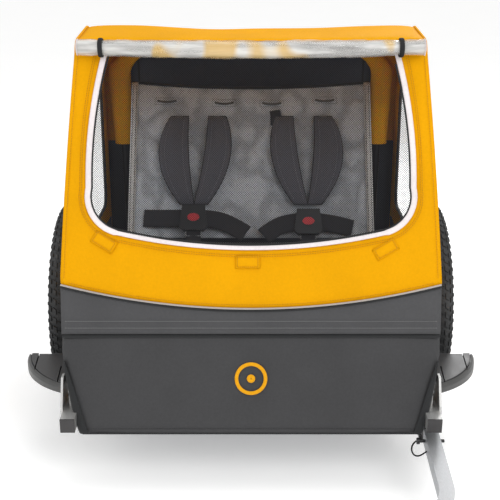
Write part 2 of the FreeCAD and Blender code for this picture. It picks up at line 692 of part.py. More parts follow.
def hitch(tip):
    """The swivel head at the arm's end and the plate that goes on a bicycle's axle."""
    head = dim.arm_size / 2
    y = tip.y - head + 1
    bottom = tip.z - head
    block = box("hitch_block", ("Dims.arm_size", "Dims.arm_size", "Dims.arm_size"),
                place(tip.x - head, y - head, bottom))
    bore = cylinder("hitch_block_bore", "0.8 * Dims.swivel_pin_radius", "40", place(tip.x, y, bottom - 5))
    part(cut("hitch_head", block, bore), "hitch_head")
    seat = bottom + dim.arm_size + 0.3
    plate_thick = dim.axle_plate_thickness
    tongue = box("plate_tongue", ("Dims.arm_size", "40", "Dims.axle_plate_thickness"),
                 place(tip.x - head, y - 28, seat))
    blade = box("plate_blade", ("Dims.axle_plate_thickness", "52", str(seat + plate_thick)),
                place(tip.x - plate_thick / 2, y - 76, 0))
    wing = fuse("plate_blank", [tongue, blade])
    pin_hole = cylinder("plate_pin_hole", "0.8 * Dims.swivel_pin_radius + Dims.running_gap", "30",
                        place(tip.x, y, seat - 10))
    axle_hole = cylinder("plate_axle_hole", "Dims.axle_bore_radius", "30",
                         along_x(tip.x - 15, y - 60, 18))
    part(cut("axle_plate", wing, fuse("plate_holes", [pin_hole, axle_hole])), "axle_plate")
    rod = cylinder("hitch_pin_rod", "0.8 * Dims.swivel_pin_radius",
                   str(dim.arm_size + plate_thick + 3), place(tip.x, y, bottom))
    knob = cylinder("hitch_pin_knob", "1.6 * Dims.swivel_pin_radius", "5",
                    place(tip.x, y, seat + plate_thick + 0.3))
    part(fuse("hitch_pin_blank", [rod, knob]), "hitch_pin")


def tow_bracket():
    """The swing bracket under the right rail, its pin, and the block in the arm's root."""
    x, y = dim.rail_half_track, dim.arm_pivot_station
    top = dim.rail_height - dim.rail_size / 2
    upper = dim.arm_height + 13.4
    lower = dim.arm_height - 13.4
    outline = [(38, top), (90, top), (90, lower - 4), (38, lower - 4), (38, lower), (85, lower),
               (85, upper), (38, upper)]
    body = plate("tow_bracket", "YZ_Plane", outline, "34", place(x, 0, 0))
    hole = new_sketch(body, "XY_Plane", "tow_bracket_hole")
    add_circle(hole, "Dims.swivel_pin_radius", 0, y)
    pocket(body, hole, "300", "tow_bracket_bore")
    block = box("arm_root_block", ("Dims.arm_size", "34", "Dims.arm_size"),
                place(x - dim.arm_size / 2, dim.arm_root_station, dim.arm_height - dim.arm_size / 2))
    bore = cylinder("arm_root_bore", "Dims.swivel_pin_radius + Dims.running_gap", "60",
                    place(x, y, dim.arm_height - 30))
    part(cut("arm_root", block, bore), "arm_root")
    reach = top - (lower - 4)
    shank = cylinder("tow_pin_shank", "Dims.swivel_pin_radius", str(reach),
                     place(x, y, lower - 4))
    head = cylinder("tow_pin_head", "1.8 * Dims.swivel_pin_radius", "5", place(x, y, lower - 9))
    part(fuse("tow_pivot_pin_blank", [shank, head]), "tow_pivot_pin")


def bolts():
    """Hexagon heads of the screws that hold the side brackets to the rails."""
    heads = []
    face = dim.rail_half_track + dim.rail_size / 2
    spots = [(face + 5, dim.wheel_station - 32, 130), (face + 5, dim.wheel_station + 32, 130),
             (face + 4.2, 54, 130), (face + 4.2, 120, 130)]
    for side, sign in SIDES.items():
        for n, (x, y, z) in enumerate(spots):
            head = doc.addObject("Part::Prism", f"{side}_bolt_{n}")
            head.Polygon = 6
            head.Circumradius = 6
            head.Height = 4
            head.Placement = place(sign * x, y, z, (0, 1, 0), 90 * sign)
            heads.append(head)
    group("frame_bolts", heads)


def cord_path(points):
    """Straight runs joined by tangent arcs, each as large as its two runs allow."""
    edges = []
    radii = []
    start = points[0]
    for n in range(1, len(points) - 1):
        before, corner, after = points[n - 1], points[n], points[n + 1]
        ahead, onward = (corner - before).normalize(), (after - corner).normalize()
        half_turn = ahead.getAngle(onward) / 2
        trim = 0.45 * min((corner - before).Length, (after - corner).Length)
        radius = trim / math.tan(half_turn)
        radii.append(radius)
        first = corner - ahead * trim
        last = corner + onward * trim
        bisector = (onward - ahead).normalize()
        middle = corner + bisector * (radius / math.cos(half_turn) - radius)
        edges.append(Part.LineSegment(start, first).toShape())
        edges.append(Part.Arc(first, middle, last).toShape())
        start = last
    edges.append(Part.LineSegment(start, points[-1]).toShape())
    print("cord radii", [round(r, 1) for r in radii])
    return Part.Wire(edges)


def lanyard():
    """The lock pin's lanyard, which droops from the pin's head to the arm's side."""
    radius = 1.5
    centre = arm_place(-27 - radius / 2, -dim.lock_pin_station, 0).Base
    anchor = arm_place(-dim.arm_size / 2 - 1.6, -dim.lock_pin_station - 31, 0).Base
    points = [centre, centre + Vector(-6, -3, -3), centre + Vector(-10, -9, -11),
              centre + Vector(-7, -17, -18), centre + Vector(0, -24, -17),
              centre + Vector(7, -29, -10), anchor]
    path = cord_path(points)
    circle = Part.Circle(points[0], points[1] - points[0], radius).toShape()
    tube = Part.Wire(path).makePipeShell([Part.Wire([circle])], True, False)
    ideal = math.pi * radius ** 2 * path.Length
    print("lanyard length", round(path.Length, 1), "volume share", round(tube.Volume / ideal, 4))
    item = doc.addObject("Part::Feature", "lanyard")
    item.Shape = tube
    part(item, "lanyard", Placement())


def check_and_export():
    doc.recompute()
    failed = [o.Name for o in doc.Objects if "Invalid" in o.State or "Error" in o.State]
    if failed:
        raise RuntimeError(f"features failed: {failed}")
    os.makedirs("parts", exist_ok=True)
    for item in PARTS:
        shape = item.Shape
        if shape.isNull() or not shape.isValid() or shape.Volume <= 0:
            raise RuntimeError(f"{item.Label} has no valid shape")
        shape.exportStep(f"parts/{item.Label}.step")
    whole = FreeCAD.BoundBox()
    for item in PARTS:
        whole.add(item.Shape.BoundBox)
    print("sub-parts", len(PARTS), "box", whole)


chassis()
wheel_mounts()
wheels()
bumpers()
hinge_brackets()
hoops()
front_covers()
body_covers()
rain_cover()
seat_back()
tow_arm()
bolts()
lanyard()
check_and_export()
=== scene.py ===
import contextlib
import math

import bmesh
import bpy
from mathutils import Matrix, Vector, noise


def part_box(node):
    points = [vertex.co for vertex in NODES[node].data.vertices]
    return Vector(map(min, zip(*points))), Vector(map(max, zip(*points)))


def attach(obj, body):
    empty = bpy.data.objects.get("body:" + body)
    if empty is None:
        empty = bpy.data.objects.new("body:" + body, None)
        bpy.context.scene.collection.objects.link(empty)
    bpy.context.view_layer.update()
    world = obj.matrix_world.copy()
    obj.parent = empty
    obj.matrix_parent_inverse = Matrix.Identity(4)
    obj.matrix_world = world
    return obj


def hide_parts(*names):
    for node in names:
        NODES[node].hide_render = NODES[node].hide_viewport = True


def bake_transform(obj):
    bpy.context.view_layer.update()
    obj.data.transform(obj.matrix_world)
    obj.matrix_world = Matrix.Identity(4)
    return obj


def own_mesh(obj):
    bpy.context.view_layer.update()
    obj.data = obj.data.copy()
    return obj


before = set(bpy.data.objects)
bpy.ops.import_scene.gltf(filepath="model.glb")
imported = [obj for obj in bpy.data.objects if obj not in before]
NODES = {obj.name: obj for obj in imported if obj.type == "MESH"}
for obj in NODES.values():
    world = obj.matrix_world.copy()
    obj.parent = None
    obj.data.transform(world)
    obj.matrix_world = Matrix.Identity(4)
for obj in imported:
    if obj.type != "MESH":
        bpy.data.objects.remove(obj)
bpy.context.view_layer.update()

# The body's shape in side view, in metres, as (station, height).
PANEL_FOOT = Vector((0.0, 0.020, 0.105))
COVER_FOOT = Vector((0.0, 0.076, 0.271))
COVER_TOP = Vector((0.0, 0.284, 0.764))
CREST = Vector((0.0, 0.420, 0.773))
ROOF_REAR = Vector((0.0, 0.630, 0.715))
TAIL = Vector((0.0, 0.725, 0.180))
REAR_FOOT = Vector((0.0, 0.731, 0.147))
UP_COVER = (COVER_TOP - COVER_FOOT).normalized()
OUT_COVER = Vector((0.0, -UP_COVER.z, UP_COVER.y))
FOOT_HALF, ROOF_HALF = 0.332, 0.316
SEAT_FOOT = Vector((0.0, 0.380, 0.350))
SEAT_LEAN = math.radians(32.28)
SEAT_UP = Vector((0.0, math.sin(SEAT_LEAN), math.cos(SEAT_LEAN)))
SEAT_OUT = Vector((0.0, -math.cos(SEAT_LEAN), math.sin(SEAT_LEAN)))
ACROSS = Vector((1.0, 0.0, 0.0))
SIDES = {"left": -1, "right": 1}
CORNERS = ((-1, -1), (1, -1), (1, 1), (-1, 1))
# Where the rays start that lay out a sheet with a window: across and up, or back and up.
COVER_MIDDLE, SIDE_MIDDLE = (0.0, 0.33), (0.42, 0.47)
COVER_HALF, COVER_HIGH = 0.337, 0.530  # the front cover's half width at its hem, and its height
HEM_HALF = 0.3385  # half the length of the cord along the hem
CHILD_PLACE = 0.116  # the middle of each child's place
SEAT_HALF, SEAT_EDGE = 0.249, 0.2505  # the seat back's half width, without and with its border
COLOUR_LINE = 0.30  # the height where the side walls change from grey to yellow


# ---- materials -------------------------------------------------------------------------------

class Shader:
    """A material under construction: a principled shader and short ways to add nodes."""

    def __init__(self, name, rough=0.6, **sockets):
        self.material = bpy.data.materials.new(name)
        self.material.use_nodes = True
        self.tree = self.material.node_tree
        self.main = self.tree.nodes["Principled BSDF"]
        self.out = self.tree.nodes["Material Output"]
        self.main.inputs["Roughness"].default_value = rough
        for socket, value in sockets.items():
            self.main.inputs[socket.replace("_", " ")].default_value = value
        self.place = self.tree.nodes.new("ShaderNodeTexCoord")

    def node(self, kind, **values):
        item = self.tree.nodes.new("ShaderNode" + kind)
        for key, value in values.items():
            if hasattr(item, key):
                setattr(item, key, value)
            else:
                item.inputs[key.replace("_", " ")].default_value = value
        return item

    def link(self, a, b):
        self.tree.links.new(a, b)

    def noise(self, scale, detail=3.0, coords="Object", stretch=None):
        item = self.node("TexNoise", Scale=scale, Detail=detail)
        source = self.place.outputs[coords]
        if stretch:
            fit = self.node("Mapping")
            fit.inputs["Scale"].default_value = stretch
            self.link(source, fit.inputs["Vector"])
            source = fit.outputs["Vector"]
        self.link(source, item.inputs["Vector"])
        return item.outputs["Fac"]

    def ramp(self, factor, low, high, start=0.3, end=0.7):
        item = self.node("ValToRGB")
        item.color_ramp.elements[0].position = start
        item.color_ramp.elements[1].position = end
        item.color_ramp.elements[0].color = (*low, 1)
        item.color_ramp.elements[1].color = (*high, 1)
        self.link(factor, item.inputs["Fac"])
        return item.outputs["Color"]

    def math(self, operation, a, b=None):
        item = self.node("Math", operation=operation)
        for n, value in enumerate((a, b)):
            if value is None:
                continue
            if isinstance(value, (int, float)):
                item.inputs[n].default_value = value
            else:
                self.link(value, item.inputs[n])
        return item.outputs[0]

    def waves(self, pitch, direction, coords="UV"):
        """Parallel threads of a pitch in metres, along a direction in the coordinates."""
        item = self.node("TexWave", wave_type="BANDS", bands_direction=direction, Scale=0.314 / pitch)
        self.link(self.place.outputs[coords], item.inputs["Vector"])
        return item.outputs["Fac"]

    def bump(self, height, strength, distance):
        item = self.node("Bump", Strength=strength, Distance=distance)
        self.link(height, item.inputs["Height"])
        if self.main.inputs["Normal"].links:
            self.link(self.main.inputs["Normal"].links[0].from_socket, item.inputs["Normal"])
        self.link(item.outputs["Normal"], self.main.inputs["Normal"])

    def colour(self, socket):
        self.link(socket, self.main.inputs["Base Color"])


def shade(colour, factor):
    return tuple(min(1.0, c * factor) for c in colour)


def cloth(name, colour, pitch=0.0012, rough=0.75, spread=0.08, sheen=0.15, coords="UV", weave=0.35,
          gloss=0.2, creases=0.0):
    """Woven cloth: crossed threads, faint mottling, a soft sheen and, where asked, bumped crease lines
    darkened with painted shade.
    """
    s = Shader(name, rough, Sheen_Weight=sheen, Sheen_Roughness=0.5, Specular_IOR_Level=gloss)
    mottle = s.noise(9.0, 4.0)
    fine = s.noise(240.0, 2.0)
    mixed = s.math("ADD", s.math("MULTIPLY", mottle, 0.6), s.math("MULTIPLY", fine, 0.4))
    if creases:
        # painted shade: the colour darkens along the crease lines of a noise, and the same lines bump the
        # cloth
        crease_shade_lines = s.math("ABSOLUTE", s.math("SUBTRACT", s.noise(creases, 1.5, stretch=(1.0, 1.0, 0.6)), 0.5))
        crease_shade_lines = s.math("MINIMUM", s.math("MULTIPLY", crease_shade_lines, 9.0), 1.0)
        mixed = s.math("ADD", s.math("MULTIPLY", mixed, 0.55), s.math("MULTIPLY", crease_shade_lines, 0.35))
        s.bump(crease_shade_lines, 0.6, 0.004)
    s.colour(s.ramp(mixed, shade(colour, 1 - spread), shade(colour, 1 + spread), 0.35, 0.65))
    threads = s.math("MAXIMUM", s.waves(pitch, "X", coords), s.waves(pitch, "Y", coords))
    if coords == "Object":
        threads = s.math("MAXIMUM", threads, s.waves(pitch, "Z", coords))
    s.bump(threads, weave, 0.0004)
    s.bump(s.noise(26.0, 3.0), 0.25, 0.002)
    return s.material


def solid_cloth(name, colour, **settings):
    """Cloth for a piece with no flat pattern of its own: its threads run along the axes."""
    return cloth(name, colour, coords="Object", **settings)


def metal(name, colour, rough=0.35, grain=(1.0, 30.0, 30.0)):
    """Brushed or drawn metal with faint streaks along its length."""
    s = Shader(name, rough, Metallic=1.0)
    streak = s.noise(60.0, 4.0, stretch=grain)
    s.colour(s.ramp(streak, shade(colour, 0.86), shade(colour, 1.06), 0.3, 0.7))
    s.link(s.math("ADD", s.math("MULTIPLY", streak, 0.16), rough - 0.08), s.main.inputs["Roughness"])
    s.bump(streak, 0.12, 0.0003)
    return s.material


def plastic(name, colour, rough=0.5, grain=1400.0, depth=0.25):
    """Moulded plastic with a fine leather grain and slight scuffing."""
    s = Shader(name, rough, Specular_IOR_Level=0.4)
    scuff = s.noise(35.0, 5.0)
    s.colour(s.ramp(scuff, shade(colour, 0.9), shade(colour, 1.15), 0.35, 0.75))
    s.link(s.math("ADD", s.math("MULTIPLY", scuff, 0.2), rough - 0.1), s.main.inputs["Roughness"])
    s.bump(s.noise(grain, 2.0), depth, 0.0003)
    return s.material


def rubber(name, colour):
    s = Shader(name, 0.82, Specular_IOR_Level=0.35)
    dust = s.noise(45.0, 5.0)
    s.colour(s.ramp(dust, shade(colour, 0.8), shade(colour, 1.5), 0.35, 0.8))
    s.bump(s.noise(900.0, 3.0), 0.35, 0.0004)
    return s.material


def net(name):
    """Fine black net: round holes in a dark thread."""
    s = Shader(name, 0.9)
    s.main.inputs["Base Color"].default_value = (0.012, 0.012, 0.014, 1)
    turn = s.node("Mapping")
    turn.inputs["Rotation"].default_value = (0, 0, math.radians(45))
    s.link(s.place.outputs["UV"], turn.inputs["Vector"])
    threads = []
    for direction in "XY":
        band = s.node("TexWave", wave_type="BANDS", bands_direction=direction, Scale=0.314 / 0.0029)
        s.link(turn.outputs["Vector"], band.inputs["Vector"])
        threads.append(s.math("SUBTRACT", 1.0, band.outputs["Fac"]))
    hole = s.math("MULTIPLY", threads[0], threads[1])
    thread = s.math("LESS_THAN", hole, 0.050)
    cover = s.math("MULTIPLY", thread, s.math("ADD", s.math("MULTIPLY", s.noise(30.0), 0.1), 0.9))
    s.link(cover, s.main.inputs["Alpha"])
    return s.material


def vinyl(name, tint, alpha, crease, rough=0.12, fold_shade=0.8, behind=None):
    """Clear vinyl: thin, glossy and creased, its colour darkened along the folds as painted shade. behind is
    a colour that shows through it in places.
    """
    s = Shader(name, rough, Specular_IOR_Level=0.7, Coat_Weight=0.6, Coat_Roughness=0.08)
    folds = s.noise(crease[0], 5.0, stretch=crease[1])
    # painted shade: the colour darkens along the folds, down to the given share of the tint
    tone = s.ramp(folds, shade(tint, fold_shade), tint, 0.35, 0.6)
    if behind:
        places = s.ramp(s.noise(13.0, 1.0, stretch=(1, 0.5, 0.5)), (0, 0, 0), (0.8, 0.8, 0.8), 0.60, 0.66)
        both = s.node("Mix", data_type="RGBA")
        s.link(places, both.inputs[0])
        s.link(tone, both.inputs[6])
        both.inputs[7].default_value = (*behind, 1)
        tone = both.outputs[2]
    s.colour(tone)
    s.link(s.math("ADD", s.math("MULTIPLY", folds, 0.35), alpha - 0.17), s.main.inputs["Alpha"])
    s.bump(folds, 0.5, 0.004)
    return s.material


M = {
    "yellow": cloth("yellow_polyester", (0.76, 0.348, 0.0), spread=0.05, sheen=0.0, gloss=0.08),
    "grey": cloth("grey_polyester", (0.050, 0.050, 0.052), pitch=0.0014, spread=0.10),
    "band": cloth("band_polyester", (0.070, 0.070, 0.073), pitch=0.0014, spread=0.10),
    "binding": cloth("edge_binding", (0.022, 0.023, 0.024), pitch=0.0020),
    "dark": cloth("inner_lining", (0.050, 0.056, 0.074), pitch=0.0016),
    # the seat cloth's crease lines are darkened with painted shade
    "seat": solid_cloth("seat_polyester", (0.50, 0.535, 0.58), pitch=0.0016, spread=0.20, creases=15.0),
    "pad": solid_cloth("pad_polyester", (0.105, 0.105, 0.125), pitch=0.0018, sheen=0.3),
    "pad_thread": solid_cloth("pad_thread", (0.22, 0.22, 0.25)),
    "seat_trim": solid_cloth("seat_trim_tape", (0.60, 0.60, 0.59), pitch=0.0016),
    # the strap slots' darker grey is painted shade, with the webbing in them
    "slot_shade": solid_cloth("slot_webbing_and_shade", (0.13, 0.13, 0.13), pitch=0.0016),
    "dark_pad": solid_cloth("cushion_polyester", (0.035, 0.035, 0.040), pitch=0.0018),
    "roll_hem": plastic("vinyl_hem", (0.62, 0.55, 0.57), 0.35, 900.0, 0.15),
    "adjuster": plastic("adjuster_plastic", (0.35, 0.35, 0.36), 0.4, 1200.0, 0.15),
    "web": solid_cloth("webbing", (0.036, 0.036, 0.042), pitch=0.0024, weave=0.8),
    "reflect": solid_cloth("reflective_tape", (0.80, 0.735, 0.735), pitch=0.0010, rough=0.45),
    "hem_tape": solid_cloth("hem_tape", (0.42, 0.38, 0.35), pitch=0.0010, rough=0.5),
    "thread": solid_cloth("thread_dark", (0.03, 0.03, 0.03)),
    "yellow_thread": solid_cloth("thread_yellow", (0.50, 0.22, 0.0)),
    "grey_thread": solid_cloth("thread_grey", (0.20, 0.20, 0.20)),
    "mark": cloth("printed_mark", (0.80, 0.36, 0.0)),
    "net": net("black_net"),
    "window": vinyl("window_vinyl", (0.80, 0.83, 0.84), 0.14, (6.0, (1, 1, 1))),
    # the roll's folds darken to half its tint: painted shade
    "roll": vinyl("rolled_vinyl", (0.98, 0.97, 0.94), 0.40, (60.0, (0.14, 1, 1)), 0.07, 0.50,
                  (0.90, 0.60, 0.16)),
    "silver": metal("drawn_aluminium", (0.62, 0.62, 0.61), 0.50, (30.0, 1.0, 30.0)),
    "arm": metal("arm_aluminium", (0.50, 0.51, 0.525), 0.46, (30.0, 1.0, 30.0)),
    "hoop": metal("hoop_dark_anodised", (0.035, 0.035, 0.038), 0.45),
    "steel": metal("plated_steel", (0.52, 0.52, 0.53), 0.36),
    "rim": metal("rim_aluminium", (0.50, 0.50, 0.52), 0.30),
    "black": plastic("black_plastic", (0.043, 0.041, 0.042), 0.5),
    "guard": plastic("guard_plastic", (0.064, 0.064, 0.066), 0.46, 900.0),
    "guard_rim": plastic("guard_rim_plastic", (0.066, 0.066, 0.065), 0.42, 900.0),
    "gloss": plastic("buckle_plastic", (0.014, 0.014, 0.016), 0.32, 1800.0, 0.1),
    "red": plastic("button_plastic", (0.62, 0.035, 0.045), 0.35, 1800.0, 0.1),
    "tyre": rubber("tyre_rubber", (0.040, 0.041, 0.042)),
    "elastic": rubber("elastic_cord", (0.012, 0.012, 0.013)),
}


# ---- mesh building ---------------------------------------------------------------------------

def box(node):
    """A CAD piece's lowest and highest corner."""
    return [Vector(c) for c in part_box(node)]


def placed(name, data):
    """A new object in the scene."""
    item = bpy.data.objects.new(name, data)
    bpy.context.scene.collection.objects.link(item)
    return item


@contextlib.contextmanager
def edited(data):
    """A mesh open for edits, which are written back at the end."""
    mesh = bmesh.new()
    mesh.from_mesh(data)
    yield mesh
    mesh.to_mesh(data)
    mesh.free()


def make_mesh(name, points, faces, material, uvs=None, smooth=True):
    """A mesh object from points and faces, with UVs in metres where they are given."""
    data = bpy.data.meshes.new(name)
    data.from_pydata([tuple(p) for p in points], [], faces)
    if uvs:
        layer = data.uv_layers.new(name="cloth")
        for loop in data.loops:
            layer.data[loop.index].uv = uvs[loop.vertex_index]
    data.polygons.foreach_set("use_smooth", [smooth] * len(data.polygons))
    data.materials.append(M[material])
    with edited(data) as mesh:
        bmesh.ops.recalc_face_normals(mesh, faces=mesh.faces)
    return placed(name, data)


def uv_xy(p):
    return (p.x, p.y)


def uv_xz(p):
    return (p.x, p.z)


def uv_yz(p):
    return (p.y, p.z)


def grid(name, rows, material, uv_of, wrap=False, thick=0.0):
    """A sheet through rows of points. wrap joins the ends of each row."""
    count = len(rows[0])
    points = [p for row in rows for p in row]
    faces = []
    for r in range(len(rows) - 1):
        for c in range(count if wrap else count - 1):
            d = (c + 1) % count
            faces.append((r * count + c, r * count + d, (r + 1) * count + d, (r + 1) * count + c))
    item = make_mesh(name, points, faces, material, [uv_of(p) for p in points])
    if thick:
        shell = item.modifiers.new("thickness", "SOLIDIFY")
        shell.thickness, shell.offset = thick, -1.0
        apply_modifiers(item)
    return item


def cut(item, place, normal):
    """A straight line of edges across a sheet, where its colour changes."""
    with edited(item.data) as mesh:
        bmesh.ops.bisect_plane(mesh, geom=mesh.verts[:] + mesh.edges[:] + mesh.faces[:],
                               plane_co=place, plane_no=normal)


def fill_middle(item, count, uv_of=None):
    """Closes the hole inside the first row of a sheet, which has count points."""
    with edited(item.data) as mesh:
        mesh.verts.ensure_lookup_table()
        face = mesh.faces.new([mesh.verts[n] for n in range(count)])
        if uv_of:
            for loop in face.loops:
                loop[mesh.loops.layers.uv.active].uv = uv_of(loop.vert.co)


def close_ends(mesh):
    bmesh.ops.holes_fill(mesh, edges=mesh.edges, sides=0)


def evaluated(item):
    """An object's mesh with its modifiers or its curve's thickness in it."""
    bpy.context.view_layer.update()
    graph = bpy.context.evaluated_depsgraph_get()
    return bpy.data.meshes.new_from_object(item.evaluated_get(graph))


def apply_modifiers(item):
    data = evaluated(item)
    item.modifiers.clear()
    item.data = data


def curve(name, kind, runs):
    """A curve object through lists of points."""
    data = bpy.data.curves.new(name, "CURVE")
    data.dimensions = "3D"
    for run in runs:
        spline = data.splines.new(kind)
        spline.points.add(len(run) - 1)
        for point, place in zip(spline.points, run):
            point.co = (*place, 1)
    return placed(name, data)


def tube(name, runs, radius, material, closed=False):
    """Round threads, pipings and cords: one mesh tube along each list of points."""
    route = curve(name, "POLY", runs)
    route.data.bevel_depth = radius
    route.data.bevel_resolution = 2
    route.data.use_fill_caps = not closed
    for spline in route.data.splines:
        spline.use_cyclic_u = closed
    mesh = evaluated(route)
    bpy.data.objects.remove(route)
    mesh.materials.clear()
    mesh.materials.append(M[material])
    mesh.polygons.foreach_set("use_smooth", [True] * len(mesh.polygons))
    return placed(name, mesh)


def turns(count):
    """Angles evenly spaced round a circle."""
    return [2 * math.pi * k / count for k in range(count)]


def spoke(angle):
    """A direction in the side view's plane."""
    return Vector((0, math.cos(angle), math.sin(angle)))


def span(start, end, count):
    """Values from start to end in even steps."""
    return [start + (end - start) * k / count for k in range(count + 1)]


def power(value, exponent):
    """A power of a value's size, with the value's sign."""
    return math.copysign(abs(value) ** exponent, value)


def heading(path, n):
    """The way a list of points runs at one of them."""
    return (path[min(n + 1, len(path) - 1)] - path[max(n - 1, 0)]).normalized()


def resample(path, step, closed=False):
    """Evenly spaced points along a polyline."""
    if closed:
        path = path + [path[0]]
    lengths = [0.0]
    for a, b in zip(path, path[1:]):
        lengths.append(lengths[-1] + (b - a).length)
    count = max(2, round(lengths[-1] / step))
    spots = []
    leg = 0
    for n in range(count if closed else count + 1):
        wanted = lengths[-1] * n / count
        while leg < len(path) - 2 and lengths[leg + 1] < wanted:
            leg += 1
        span = max(lengths[leg + 1] - lengths[leg], 1e-9)
        spots.append(path[leg].lerp(path[leg + 1], (wanted - lengths[leg]) / span))
    return spots


def stitches(name, path, material, lift, pitch=0.0045, closed=False, radius=0.00045):
    """A row of stitches along a path, raised along a direction."""
    spots = resample(path, pitch, closed)
    if closed:
        spots.append(spots[0])
    runs = []
    for a, b in zip(spots, spots[1:]):
        start, end = a.lerp(b, 0.14), a.lerp(b, 0.80)
        runs.append([start, a.lerp(b, 0.47) + lift * 0.0005, end])
    return tube(name, runs, radius, material)


def soft(item, node=None):
    """A cloth piece, fixed to the chassis; node is the CAD piece it replaces, which is hidden."""
    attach(item, "chassis")
    if node:
        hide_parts(node)
    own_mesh(item)


# ---- outlines in the cover's plane -----------------------------------------------------------

def arc(a, m, b, count=10):
    """Points along the circle through three points, from a towards b, b left out."""
    d = 2 * (a[0] * (m[1] - b[1]) + m[0] * (b[1] - a[1]) + b[0] * (a[1] - m[1]))
    a2, m2, b2 = (p[0] ** 2 + p[1] ** 2 for p in (a, m, b))
    cx = (a2 * (m[1] - b[1]) + m2 * (b[1] - a[1]) + b2 * (a[1] - m[1])) / d
    cy = (a2 * (b[0] - m[0]) + m2 * (a[0] - b[0]) + b2 * (m[0] - a[0])) / d
    radius = math.hypot(a[0] - cx, a[1] - cy)
    start = math.atan2(a[1] - cy, a[0] - cx)
    turn = [(math.atan2(p[1] - cy, p[0] - cx) - start) % (2 * math.pi) for p in (m, b)]
    sweep = turn[1] if turn[0] < turn[1] else turn[1] - 2 * math.pi
    return [(cx + radius * math.cos(start + sweep * n / count),
             cy + radius * math.sin(start + sweep * n / count)) for n in range(count)]


def window_outline(grow=0.0):
    """The front window's edge in the cover's plane, counter-clockwise from the top right."""
    g = grow
    top, side, base = (0.262 + g, 0.512 + g), (0.2905 + g, 0.262), (0.235, 0.180 - g)
    corner = (0.279 + 0.7 * g, 0.207 - 0.7 * g)

    def flip(p):
        return (-p[0], p[1])

    line = [(top[0] * (1 - n / 6) + -top[0] * n / 6, top[1]) for n in range(6)]
    line += arc(flip(top), (-0.287 - g, 0.370), flip(side), 12)
    line += arc(flip(side), flip(corner), flip(base), 12)
    line += arc(flip(base), (0, 0.154 - g), base, 30)
    line += arc(base, corner, side, 12)
    line += arc(side, (0.287 + g, 0.370), top, 12)
    return line


def hem_height(x, drop=0.0):
    """Height of the curved hem in the cover's plane at a place across."""
    return 0.046 + 0.042 * (x / COVER_HALF) ** 2 - drop


def side_half(s):
    """Half the front cover's width at a height in its plane."""
    return 0.3395 - 0.0225 * (s - 0.06) / 0.473 + 0.0035 * math.sin(math.pi * min(s / 0.53, 1.0))


def cover_point(x, s, out=0.0):
    return COVER_FOOT + ACROSS * x + UP_COVER * s + OUT_COVER * out


def cover_uv(p):
    return (p.x, (p - COVER_FOOT).dot(UP_COVER))


def ring_outer():
    """The cover's outer edge, counter-clockwise from the top right."""
    low, top = hem_height(COVER_HALF), COVER_HIGH
    line = [(side_half(top) * (1 - n / 20), top) for n in range(40)]
    line += [(-side_half(s), s) for s in span(top, low, 30)[:-1]]
    line += [(x, hem_height(x)) for x in span(-HEM_HALF, HEM_HALF, 60)[:-1]]
    return line + [(side_half(s), s) for s in span(low, top, 30)[:-1]]


def ray_hit(outline, centre, angle):
    """Where a ray from a centre meets a closed outline."""
    dx, dy = math.cos(angle), math.sin(angle)
    best = 0.0
    for a, b in zip(outline, outline[1:] + outline[:1]):
        ex, ey = b[0] - a[0], b[1] - a[1]
        det = dx * ey - dy * ex
        if abs(det) < 1e-12:
            continue
        t = ((a[0] - centre[0]) * ey - (a[1] - centre[1]) * ex) / det
        u = ((a[0] - centre[0]) * dy - (a[1] - centre[1]) * dx) / det
        if -1e-9 <= u <= 1 + 1e-9 and t > best:
            best = t
    return (centre[0] + dx * best, centre[1] + dy * best)


def ring_angles(outline, centre, count):
    """Ray angles evenly spaced along an outline."""
    path = [Vector((p[0], p[1], 0)) for p in outline]
    return [math.atan2(p.y - centre[1], p.x - centre[0]) for p in resample(path, 1.0 / count, True)]


def ray_rows(inner, outer, centre, angles, shares):
    """Each share with the places that far along the rays between two outlines, or from the centre."""
    starts = [ray_hit(inner, centre, angle) if inner else centre for angle in angles]
    ends = [ray_hit(outer, centre, angle) for angle in angles]
    for share in shares:
        yield share, [(a[0] + (b[0] - a[0]) * share, a[1] + (b[1] - a[1]) * share)
                      for a, b in zip(starts, ends)]


def wrinkle(p, scale, depth, seed=0.0):
    return noise.noise(Vector((p[0] * scale, p[1] * scale, seed))) * depth


# ---- front covers ----------------------------------------------------------------------------

def front_cover():
    """The yellow front cover: a sheet with a window, drawn tight between its seams."""
    outer = ring_outer()
    angles = ring_angles(outer, COVER_MIDDLE, 150)
    rows = []
    for share, places in ray_rows(window_outline(), outer, COVER_MIDDLE, angles, span(0, 1, 16)):
        slack = math.sin(math.pi * share)
        pucker = 0.0022 * math.exp(-((share - 0.10) / 0.07) ** 2)
        rows.append([])
        for x, s in places:
            out = 0.0026 + slack * (wrinkle((x, s), 9, 0.0035, 1.0) + wrinkle((x, s * 0.4), 34, 0.0010, 4))
            rows[-1].append(cover_point(x, s, out + pucker * wrinkle((x, s), 60, 1.0, 7)))
    item = grid("yellow_front_cover", rows, "yellow", cover_uv, wrap=True, thick=0.0014)
    soft(item, "front_cover")
    seams = {f"window_stitch_{name}": window_outline(offset)[6:]
             for name, offset in (("outer", 0.0155), ("inner", 0.0120))}
    for side, sign in (("right", 1), ("left", -1)):
        seams["cover_edge_stitch_" + side] = [(sign * (side_half(s) - 0.007), s)
                                              for s in span(0.10, 0.52, 20)]
    seams["cover_hem_stitch"] = [(x, hem_height(x, -0.007)) for x in span(-0.325, 0.325, 40)]
    for name, line in seams.items():
        path = [cover_point(x, s, 0.0046) for x, s in line]
        soft(stitches(name, path, "yellow_thread", OUT_COVER))


